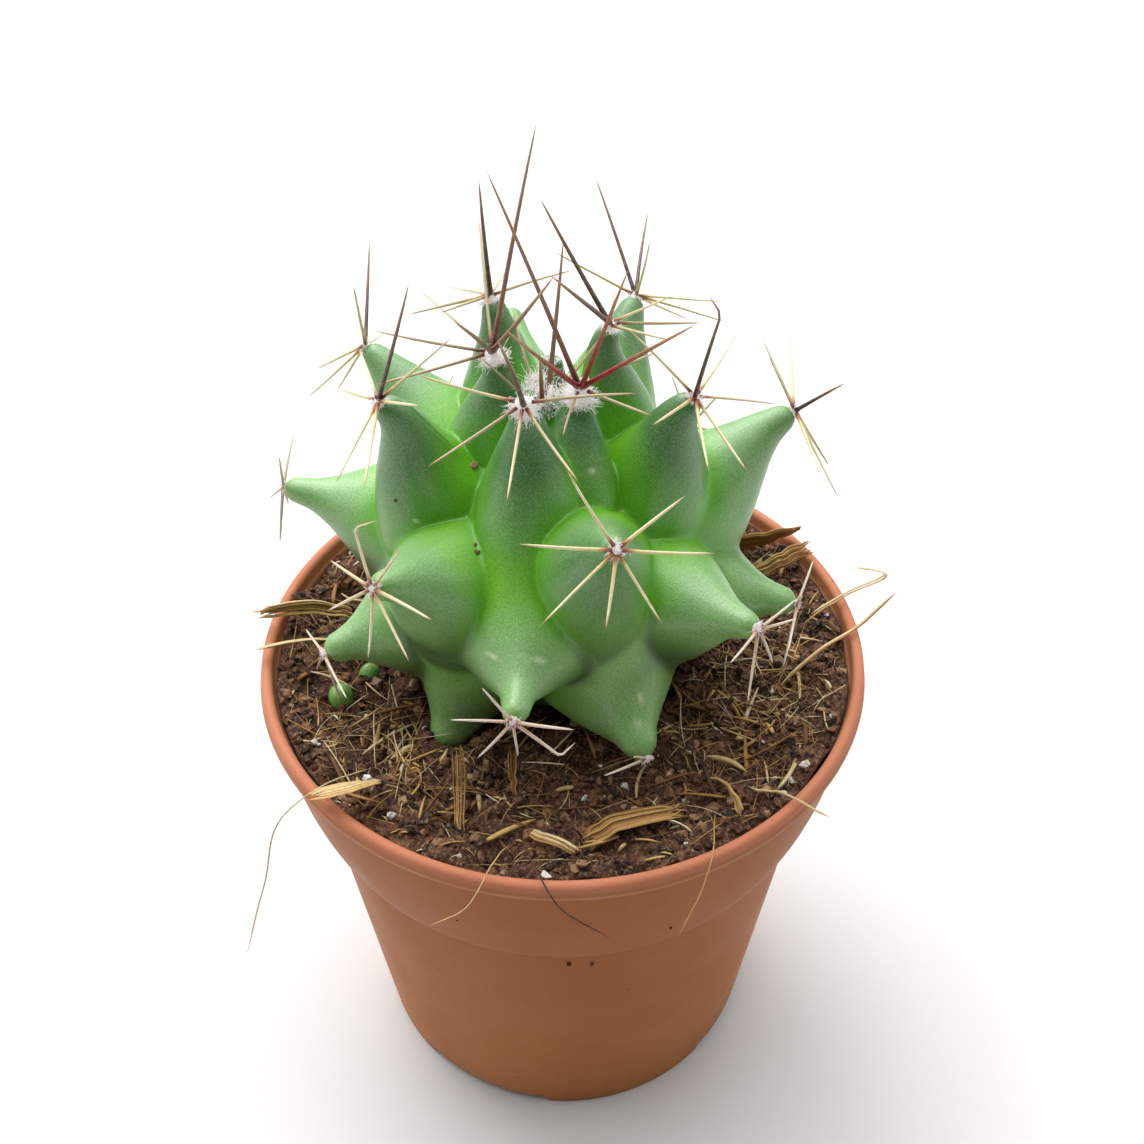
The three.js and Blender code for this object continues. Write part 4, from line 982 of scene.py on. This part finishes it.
def build_wool(settings):
    """All wool in one piece: on each tip a low dome with hairs over it, and the tuft of the crown."""
    rng = np.random.default_rng(settings.seed)
    all_points, all_polygons, old = [], {3: [], 4: []}, []

    def take(age, points, polygons):
        """Adds a part of the wool that belongs to a tubercle of this age."""
        total = sum(map(len, all_points))
        for p in polygons:
            all_polygons[p.shape[1]].append(p + total)
        all_points.append(points)
        old.append(np.full(len(points), float(smooth((age - 6) / 10))))

    for age in AREOLES:
        one = tubercle(age)
        size = float(between(WOOL_SIZE, age))
        radius = CUSHION_RADIUS * size
        count = int(settings.hairs * HAIR_SHARE * size ** 1.4)
        away = radius * np.sqrt(rng.random(count))
        flat, d = about_tip(one, away, rng.random(count) * 2 * np.pi)
        out = unit(one["aim"] * 0.9 + flat / radius * 0.55)
        droop = 0.25 + 0.35 * (size > 1)
        roots = over_skin(d, HAIR_LIFT)
        take(age, *hairs_on(rng, roots, out, HAIR_LENGTH * size, 0.35, droop, HAIR_WIDTH))
        take(age, *cushion(one, radius, size))
    count = settings.hairs * CROWN_HAIR_SHARE
    r = CROWN_RADIUS * np.sqrt(rng.random(count))
    turn = rng.random(count) * 2 * np.pi
    disc = np.stack([r * np.cos(turn), r * np.sin(turn), np.full(count, CROWN_HEIGHT)], 1)
    d = unit(disc + unit(CROWN_AIM) * 0.2)
    roots = over_skin(d, HAIR_LIFT)
    take(0, *hairs_on(rng, roots, unit(d + [0, 0, 0.6]), CROWN_HAIR_LENGTH, 0.45, 0.05, CROWN_HAIR_WIDTH))
    polygons = [np.concatenate(p) for p in all_polygons.values()]
    return mesh_object("areole_wool", np.concatenate(all_points), polygons, {"old": np.concatenate(old)})


def cushion(one, radius, size):
    """Low felt dome under the hairs: rings about the tip, lifted over the skin and sunk at the edge."""
    rings, sectors = 6, 16
    share, turn = np.meshgrid(np.linspace(0.02, 1.0, rings), ring_angles(sectors), indexing="ij")
    d = about_tip(one, radius * share, turn)[1].reshape(-1, 3)
    share = share.ravel()
    dome = over_skin(d, CUSHION_HEIGHT * size * (1 - share ** 2) - 0.12 * share)
    dome = dome + 0.06 * noise(dome, 0.35, 8)[:, None] * d
    n = len(dome)
    k = np.arange(sectors)
    m = (k + 1) % sectors
    e = (rings - 1) * sectors
    rim = np.stack([e + k, e + m, n + e + m, n + e + k], 1)
    faces = np.concatenate([grid(rings, sectors), grid(rings, sectors, start=n)[:, ::-1], rim])
    return np.vstack([dome, over_skin(d, -0.35)]), [faces[:, ::-1]]


# Potting mix

def soil_height(x, y):
    """The soil's even swell: its height in mm at a place."""
    return (SOIL_TOP + 0.4 * np.sin(0.62 * x + 1.3) * np.cos(0.55 * y + 0.4)
            + 0.28 * np.sin(1.05 * x - 0.7 * y) + 0.22 * np.cos(0.9 * y + 0.8 * x + 2))


def edge_rise(x, y):
    """How far the soil climbs towards the pot's wall: a smooth step, 1 mm high, between two radii."""
    return smooth((np.hypot(x, y) - RISE_START) / RISE_WIDTH)


def soil_surface(x, y, seed):
    """Rough soil: the even swell of soil_height with lumps, crumbs and pits of peat on it."""
    flat = np.stack([x, y, np.zeros_like(x)], axis=-1)
    lumps = noise(flat, 2.3, seed) * 0.45 + np.maximum(noise(flat, 1.1, seed + 1), -0.2) * 0.38
    crumbs = np.abs(noise(flat, 0.55, seed + 2)) * 0.3 + noise(flat, 0.3, seed + 3) * 0.12
    return soil_height(x, y) + lumps + crumbs - 0.15 + edge_rise(x, y)


def build_soil(settings):
    """Soil: a polar grid lifted by soil_surface, with a skirt down the wall of the pot and a floor."""
    columns, rows = 560, 94
    around = ring_angles(columns)
    r, a = np.meshgrid(np.linspace(0.3, SOIL_EDGE, rows), around, indexing="ij")
    x, y = r * np.cos(a), r * np.sin(a)
    rings = [np.stack([x, y, soil_surface(x, y, settings.seed)], axis=-1)]
    for radius, height in SOIL_SKIRT:
        ring = [radius * np.cos(around), radius * np.sin(around), np.full(columns, height)]
        rings.append(np.stack(ring, 1)[None])
    points = np.concatenate(rings).reshape(-1, 3)
    shade = 0.36 + 0.22 * noise(points, 0.9, 21) + 0.14 * noise(points, 0.35, 22)
    return mesh_object("peat_soil", points, closed_grid(rows + len(SOIL_SKIRT), columns), {"shade": shade})


def clear_of_plant(x, y, margin):
    """Whether a place on the soil lies outside the plant at soil level."""
    p = np.stack([x, y, np.full_like(x, SOIL_TOP + 0.4)], axis=-1) - BODY_CENTRE
    distance = np.linalg.norm(p, axis=1)
    return distance > body_radius(p / distance[:, None]) + margin


def scatter(rng, count, margin):
    """Even random places on the soil, outside the plant and inside the pot."""
    r = GRAIN_EDGE * np.sqrt(rng.random(count * 3))
    a = rng.random(count * 3) * 2 * np.pi
    x, y = r * np.cos(a), r * np.sin(a)
    keep = clear_of_plant(x, y, margin)
    return x[keep][:count], y[keep][:count]


def lump_template():
    """A small 20-faced lump: the twelve corners of an icosahedron."""
    g = (1 + 5 ** 0.5) / 2
    corners = np.array([(-1, g, 0), (1, g, 0), (-1, -g, 0), (1, -g, 0), (0, -1, g), (0, 1, g), (0, -1, -g),
                        (0, 1, -g), (g, 0, -1), (g, 0, 1), (-g, 0, -1), (-g, 0, 1)]) / math.hypot(1, g)
    faces = np.array([(0, 11, 5), (0, 5, 1), (0, 1, 7), (0, 7, 10), (0, 10, 11), (1, 5, 9), (5, 11, 4),
                      (11, 10, 2), (10, 7, 6), (7, 1, 8), (3, 9, 4), (3, 4, 2), (3, 2, 6), (3, 6, 8),
                      (3, 8, 9), (4, 9, 5), (2, 4, 11), (6, 2, 10), (8, 6, 7), (9, 8, 1)])
    return corners, faces


def build_lumps(name, rng, x, y, z, sizes, flatness):
    """Uneven lumps: a 20-faced template, each copy stretched, turned and with its corners moved."""
    corners, faces = lump_template()
    count, each = len(x), len(corners)
    shape = corners[None] * (1 + 0.28 * rng.normal(0, 1, (count, each, 1)))
    stretch = [np.ones(count), 0.6 + 0.5 * rng.random(count), flatness * np.ones(count)]
    shape = shape * np.stack(stretch, 1)[:, None]
    turn = rng.random(count) * 2 * np.pi
    tilt = rng.normal(0, 0.5, count)
    c, s, ct, st = np.cos(turn), np.sin(turn), np.cos(tilt), np.sin(tilt)
    zero, one = np.zeros(count), np.ones(count)
    spin = np.stack([c, -s, zero, s, c, zero, zero, zero, one], 1).reshape(-1, 3, 3)
    lean = np.stack([one, zero, zero, zero, ct, -st, zero, st, ct], 1).reshape(-1, 3, 3)
    shape = np.einsum("nij,njk,nck->nci", spin, lean, shape) * sizes[:, None, None]
    points = shape + np.stack([x, y, z], 1)[:, None]
    triangles = (np.arange(count)[:, None, None] * each + faces[None]).reshape(-1, 3)
    shade = np.repeat(rng.beta(1.5, 2.1, count), each)
    return mesh_object(name, points, [triangles], {"shade": shade}, smooth_faces=False)


def build_rootlets(settings, rng):
    """Thin fibres on the soil: each nearly straight in plan, some curled, many lifted at one end.

    Half of them lie in two drifts, at the front left and at the right. Most are pale, the others dark."""
    count, steps, sides = settings.rootlets, 8, 4
    x, y = scatter(rng, count * 3, 0.6)
    drift = sum(strength * np.exp(-((x - cx) ** 2 + (y - cy) ** 2) / spread)
                for cx, cy, spread, strength in DRIFTS)
    keep = rng.random(len(x)) < 0.25 + drift
    x, y = x[keep][:count], y[keep][:count]
    count = len(x)
    heading = rng.random(count) * 2 * np.pi
    length = 0.9 + 6.2 * rng.random(count) ** 1.8
    bend = rng.normal(0, 0.13, count) * np.where(rng.random(count) < 0.15, 4, 1)
    t = np.linspace(-0.5, 0.5, steps)[None, :]
    angle = heading[:, None] + bend[:, None] * t * 2
    px = x[:, None] + np.cumsum(np.cos(angle), axis=1) * length[:, None] / steps
    py = y[:, None] + np.cumsum(np.sin(angle), axis=1) * length[:, None] / steps
    ends = clear_of_plant(px[:, 0], py[:, 0], 0.3) & clear_of_plant(px[:, -1], py[:, -1], 0.3)
    keep = (np.hypot(px, py).max(axis=1) < ROOTLET_EDGE) & ends
    px, py, length = px[keep], py[keep], length[keep]
    count = len(px)
    arch = (0.05 + 0.35 * rng.random(count) ** 3)[:, None] * (1 - (2 * t) ** 2)
    lift = (0.3 * rng.random(count) ** 2 * length)[:, None] * (t + 0.5)
    level = soil_surface(px, py, settings.seed)
    pz = level.mean(axis=1, keepdims=True) + 0.08 + arch + lift + (level[:, -1:] - level[:, :1]) * t
    wide = rng.random(count)
    thick = (0.03 + 0.12 * wide ** 4 + 0.2 * wide ** 24)[:, None] * (1 - 0.5 * np.abs(t * 2) ** 3)
    flat = thick * (0.4 + 0.5 * rng.random(count))[:, None]
    points, polygons, _ = tubes(np.stack([px, py, pz], -1), thick, flat, sides, twist=1.5)
    pale = rng.random(count) < 0.6
    tone = np.clip(np.where(pale, rng.normal(0.26, 0.17, count), rng.normal(0.7, 0.2, count)), 0, 1)
    return mesh_object("rootlets_on_soil", points, polygons, {"tone": np.repeat(tone, steps * sides)})


def straw_route(name, route):
    """A straw's middle line: a curve through its points, a little uneven."""
    points = []
    for x, y, z, *resting in route:
        points.append((x, y, z + (soil_height(x, y) + 0.8 * edge_rise(x, y) if resting else 0)))
    t = np.linspace(0, 1, STRAW_STEPS)
    wander = [noise(np.stack([t * 7, t * 0 + i, t * 0 + len(name)], -1), 1.0, i) for i in range(3)]
    return curve_through(points, STRAW_STEPS) + 0.1 * np.stack(wander, 1)


def build_straw(name):
    """One loose straw: strands side by side across a flat width, twisted a little and frayed at both ends."""
    width, thick, route = STRAWS[name]
    widen, strands, fray = STRAW_LOOK.get(name, THIN_LOOK if width < THIN_UNDER else WIDE_LOOK)
    rng = np.random.default_rng(sum(map(ord, name)))
    t = np.linspace(0, 1, STRAW_STEPS)
    path = straw_route(name, route)
    turn = (rng.normal(0, 0.4) + rng.normal(0, 0.9) * t)[:, None]
    wide, flat = turned(*(v[0] for v in frames(path[None])), turn)
    start, end = 0.1 * rng.random((2, strands, 1)) * (strands > 1)
    own = start + (1 - start - end) * t
    route, wide, flat = (np.stack([np.interp(own, t, v[:, i]) for i in range(3)], -1)
                         for v in (path, wide, flat))
    loose = fray * smooth((np.abs(own - 0.5) - 0.3) / 0.2) * rng.normal(0, 0.35, (strands, 1))
    place = (np.linspace(-1, 1, strands) + rng.normal(0, 0.6 / strands, strands))[:, None] * (strands > 1)
    place = place * (1 + 0.1 * rng.normal(0, 1, (strands, 1)) * np.sin(own * 7)) + loose
    depth = rng.normal(0, 0.25, (strands, 1)) + loose
    paths = route + wide * (place * width * widen * 0.42)[..., None] + flat * (depth * thick * 0.4)[..., None]
    least, rounder = (0.35, 0.8) if strands == 1 else (0.6, 0.4)
    half = width * widen / strands * (least + 0.6 * rng.random((strands, 1)))
    half = half * np.minimum(1, np.minimum(t, 1 - t) * 7 + 0.25)
    body, polygons, _ = tubes(paths, half, np.minimum(half * rounder, thick / 2), STRAW_SIDES)
    tone = np.clip(STRAW_TONE.get(name, USUAL_TONE) + rng.normal(0, 0.1, strands), 0, 1)
    piece = name + "_dry" if name.startswith("straw") else "straw_" + name
    return mesh_object(piece, body, polygons, {"tone": np.repeat(tone, STRAW_STEPS * STRAW_SIDES)})


# Pot

def arc(cx, cz, rx, rz, start, end, count):
    """Points on part of an ellipse about (cx, cz), from one angle to another in degrees."""
    a = np.radians(np.linspace(start, end, count))
    return [(cx + rx * math.cos(t), cz + rz * math.sin(t)) for t in a]


def pot_profile(height):
    """The pot's outline as (radius, height): under the floor, out, up to the lip, and down inside."""
    (foot_r, foot_z), (step_r, step_z) = WALL
    foot = arc(18.3, 0.3, 0.3, 0.3, 180, 270, 4)[1:] + arc(19.55, 0.35, 0.35, 0.35, 270, 350, 4)
    foot += [(20.0, 1.2)]
    wall = [(foot_r + (step_r - foot_r) * t, foot_z + (step_z - foot_z) * t)
            for t in np.linspace(0.08, 0.97, 12)]
    band = [(float(between(BAND, z)), z) for z in np.linspace(35.4, 46.7, 12)]
    lip = arc(27.03, height - 0.52, 0.53, 0.52, 0, 180, 13)
    inner = [(between(INSIDE, z), z) for z in (44, 40, 36, 34.8, 34, 30, 20, 10, 3.6)]
    return np.array(UNDER_FLOOR + foot + wall + STEP + band + UNDER_LIP + lip + INSIDE_LIP + inner + FLOOR)


def build_pot(settings):
    """Pot: one closed profile turned about the axis, with the foot ring lifted in its four notches."""
    rim, height = settings.rim_radius / MM, settings.height / MM
    p = pot_profile(height)
    p[:, 0] *= rim / DRAWN_RIM
    around = ring_angles(POT_COLUMNS)
    z = np.repeat(p[:, 1:], POT_COLUMNS, axis=1)
    azimuth = np.degrees(around)[None, :]
    notch = np.zeros((1, POT_COLUMNS))
    for middle in NOTCHES:
        away = np.abs((azimuth - middle + 180) % 360 - 180)
        notch = np.maximum(notch, smooth((NOTCH_HALF - away) / 1.5))
    foot = ((p[:, 1] < 0.9) & (p[:, 0] > 15))[:, None]
    z = np.where(foot, np.maximum(z, 0.92 * notch + z * 0.05), z)
    r = np.repeat(p[:, :1], POT_COLUMNS, axis=1)
    sway = 1 + 0.0012 * np.sin(2 * around + 0.6)[None, :] * (z / height)
    points = np.stack([r * np.cos(around) * sway, r * np.sin(around) * sway, z], axis=-1).reshape(-1, 3)
    pot = mesh_object("nursery_pot", points, closed_grid(len(p), POT_COLUMNS))
    cut_holes(pot)
    return pot


def cut_holes(pot):
    """Four round drain holes through the floor."""
    cutters = []
    for middle in NOTCHES:
        bpy.ops.mesh.primitive_cylinder_add(vertices=32, radius=HOLE_RADIUS * MM, depth=6 * MM)
        cutter = bpy.context.active_object
        d = direction(math.radians(middle), 0) * HOLE_DISTANCE
        cutter.location = (d[0] * MM, d[1] * MM, 2 * MM)
        cutters.append(cutter)
        cut = pot.modifiers.new("drain", "BOOLEAN")
        cut.operation, cut.object, cut.solver = "DIFFERENCE", cutter, "EXACT"
    bpy.context.view_layer.update()
    graph = bpy.context.evaluated_depsgraph_get()
    mesh = bpy.data.meshes.new_from_object(pot.evaluated_get(graph))
    pot.modifiers.clear()
    old, pot.data = pot.data, mesh
    bpy.data.meshes.remove(old)
    for cutter in cutters:
        bpy.data.objects.remove(cutter)


def dress(obj, material, slot, *nodes):
    """Gives a piece its finish and its body, and the solids that it stands for. The slot is not used."""
    obj.data.materials.clear()
    obj.data.materials.append(material)
    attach(obj, "root")
    if nodes:
        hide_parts(*nodes)


class CACTUS_OT_stage(bpy.types.Operator):
    """Sets the camera where the photograph was taken from, a white floor and soft light"""
    bl_idname = "cactus.stage"
    bl_label = "Stage"

    def execute(self, context):
        settings = context.scene.cactus_stage
        camera = bpy.data.objects.new("camera", bpy.data.cameras.new("camera"))
        context.scene.collection.objects.link(camera)
        camera.location = [c * MM for c in CAMERA_PLACE]
        camera.rotation_euler = (math.pi / 2 - settings.pitch, 0, 0)
        camera.data.lens = settings.lens
        camera.data.sensor_width = SENSOR_WIDTH
        camera.data.clip_start = 0.005
        context.scene.camera = camera
        context.scene.view_settings.view_transform = "Standard"
        corners = np.array([(-1, -1, 0), (1, -1, 0), (1, 1, 0), (-1, 1, 0)]) * PAPER_HALF
        floor = mesh_object("studio_floor", corners, [np.arange(4)[None]], smooth_faces=False)
        floor.data.materials.append(self.paper())
        self.lights(context)
        return {"FINISHED"}

    def paper(self):
        """White seamless paper: matte."""
        return finished(begin("white_seamless_paper")[0], "#dadada", Roughness=0.9)

    def tent(self):
        """Light tent: brightest overhead and a little behind, dim at the horizon and on the camera's side."""
        world = bpy.data.worlds.new("light_tent")
        world.use_nodes = True
        around = add(world, "ShaderNodeTexCoord", output="Generated")
        overhead = {"operation": "DOT_PRODUCT", 0: around, 1: TENT_TOP}
        overhead = add(world, "ShaderNodeVectorMath", overhead, "Value")
        glow = add(world, RAMP, {"Fac": overhead, "stops": TENT_GLOW})
        background = world.node_tree.nodes["Background"]
        background.inputs["Strength"].default_value = TENT_STRENGTH
        world.node_tree.links.new(glow, background.inputs["Color"])
        return world

    def lights(self, context):
        """Hangs the tent round the scene and the softboxes in it, each turned to the plant."""
        context.scene.world = self.tent()
        for name, place, size, power in LAMPS:
            lamp = bpy.data.lights.new(name, "AREA")
            lamp.size, lamp.energy = size, power
            obj = bpy.data.objects.new(name, lamp)
            context.scene.collection.objects.link(obj)
            obj.location = [c * MM for c in place]
            aim = np.array(LAMP_TARGET) - np.array(place)
            yaw = math.atan2(aim[1], aim[0]) - math.pi / 2
            pitch = math.atan2(aim[2], math.hypot(aim[0], aim[1]))
            obj.rotation_euler = (math.pi / 2 + pitch, 0, yaw)


class CACTUS_OT_pot(bpy.types.Operator):
    """Turns the nursery pot with its lip, band, foot notches and drain holes"""
    bl_idname = "cactus.pot"
    bl_label = "Nursery pot"

    def execute(self, context):
        dress(build_pot(context.scene.cactus_pot), polypropylene(), "pot", "pot")
        return {"FINISHED"}


class CACTUS_OT_soil(bpy.types.Operator):
    """Lays the peat with its crumbs, chips of bark, perlite and rootlets"""
    bl_idname = "cactus.soil"
    bl_label = "Potting mix"

    def execute(self, context):
        settings = context.scene.cactus_soil
        rng = np.random.default_rng(settings.seed)
        earth = peat()
        dress(build_soil(settings), earth, "soil", "soil")
        finishes = {"perlite_grains": perlite()}
        for name, count in zip(GRAINS, (settings.crumbs, settings.chips, settings.grains)):
            margin, (least, more, power), (share, lift), flatness, large = GRAINS[name]
            x, y = (np.append(*pair) for pair in zip(scatter(rng, count, margin), large))
            sizes = least + more * rng.random(len(x)) ** power
            sizes[len(x) - len(large[0]):] = PERLITE_SIZE
            z = soil_surface(x, y, settings.seed) + sizes * share + lift
            dress(build_lumps(name, rng, x, y, z, sizes, flatness), finishes.get(name, earth), "soil")
        x, y, z, sizes = np.array(STRAY_CRUMBS).T
        dress(build_lumps("stray_crumbs", rng, x, y, z, sizes, 0.7), earth, "soil")
        dress(build_rootlets(settings, rng), dried_straw(), "straw")
        return {"FINISHED"}


class CACTUS_OT_straws(bpy.types.Operator):
    """Lays the loose straws and fibres that stand out of the soil and over the rim"""
    bl_idname = "cactus.straws"
    bl_label = "Loose straws"

    def execute(self, context):
        material = bpy.data.materials["dried_straw"]
        for name in STRAWS:
            dress(build_straw(name), material, "straw", name)
        return {"FINISHED"}


class CACTUS_OT_flesh(bpy.types.Operator):
    """Grows the body with its spiral of tubercles"""
    bl_idname = "cactus.flesh"
    bl_label = "Cactus body"

    def execute(self, context):
        skin = cactus_skin()
        dress(build_flesh(context.scene.cactus_plant), skin, "flesh", "cactus_body")
        dress(build_stubs(), skin, "flesh")
        return {"FINISHED"}


class CACTUS_OT_areoles(bpy.types.Operator):
    """Sets a wool cushion and its spines on every tubercle's tip"""
    bl_idname = "cactus.areoles"
    bl_label = "Spines and wool"

    def execute(self, context):
        horn = spine_horn()
        for age in AREOLES:
            one = tubercle(age)
            tip = BODY_CENTRE + one["aim"] * one["reach"]
            obj = build_spines(f"spines_{age:02d}", age, tip, one["aim"], CENTRALS.get(age, []),
                               RADIALS.get(age) or star(age))
            dress(obj, horn, "spines", f"areole_{age:02d}")
        aim = unit(CROWN_AIM)
        crown = build_spines("spines_crown", 0, over_skin(aim[None])[0], aim, CROWN_SPINES[:2],
                             CROWN_SPINES[2:], (CROWN_SEAT, CROWN_SEAT))
        dress(crown, horn, "spines", "crown_tuft")
        dress(build_wool(context.scene.cactus_plant), areole_wool(), "wool")
        return {"FINISHED"}


class CACTUS_PT_panel(bpy.types.Panel):
    """Lists the pieces of the potted cactus"""
    bl_idname = "CACTUS_PT_panel"
    bl_label = "Potted cactus"
    bl_space_type = "VIEW_3D"
    bl_region_type = "UI"
    bl_category = "Cactus"

    def draw(self, context):
        scene = context.scene
        for group in (scene.cactus_pot, scene.cactus_plant, scene.cactus_soil, scene.cactus_stage):
            for key in group.bl_rna.properties.keys():
                if key not in ("rna_type", "name"):
                    self.layout.prop(group, key)
        for operator in OPERATORS:
            self.layout.operator(operator.bl_idname)


OPERATORS = (CACTUS_OT_stage, CACTUS_OT_pot, CACTUS_OT_soil, CACTUS_OT_straws, CACTUS_OT_flesh,
             CACTUS_OT_areoles)
SETTINGS = {"cactus_pot": PotSettings, "cactus_plant": PlantSettings, "cactus_soil": SoilSettings,
            "cactus_stage": StageSettings}


def register():
    """Registers the settings, the operators and the panel."""
    for group in SETTINGS.values():
        bpy.utils.register_class(group)
    for key, group in SETTINGS.items():
        setattr(bpy.types.Scene, key, bpy.props.PointerProperty(type=group))
    for one in OPERATORS + (CACTUS_PT_panel,):
        bpy.utils.register_class(one)


def unregister():
    """Takes away all that register added."""
    for one in reversed(OPERATORS + (CACTUS_PT_panel,)):
        bpy.utils.unregister_class(one)
    for key in SETTINGS:
        delattr(bpy.types.Scene, key)
    for group in SETTINGS.values():
        bpy.utils.unregister_class(group)


def main():
    """Builds the scene: the stage with its camera first, then the pieces."""
    register()
    bpy.ops.cactus.stage()
    bpy.ops.cactus.pot()
    bpy.ops.cactus.soil()
    bpy.ops.cactus.straws()
    bpy.ops.cactus.flesh()
    bpy.ops.cactus.areoles()


if __name__ == "__main__":
    main()
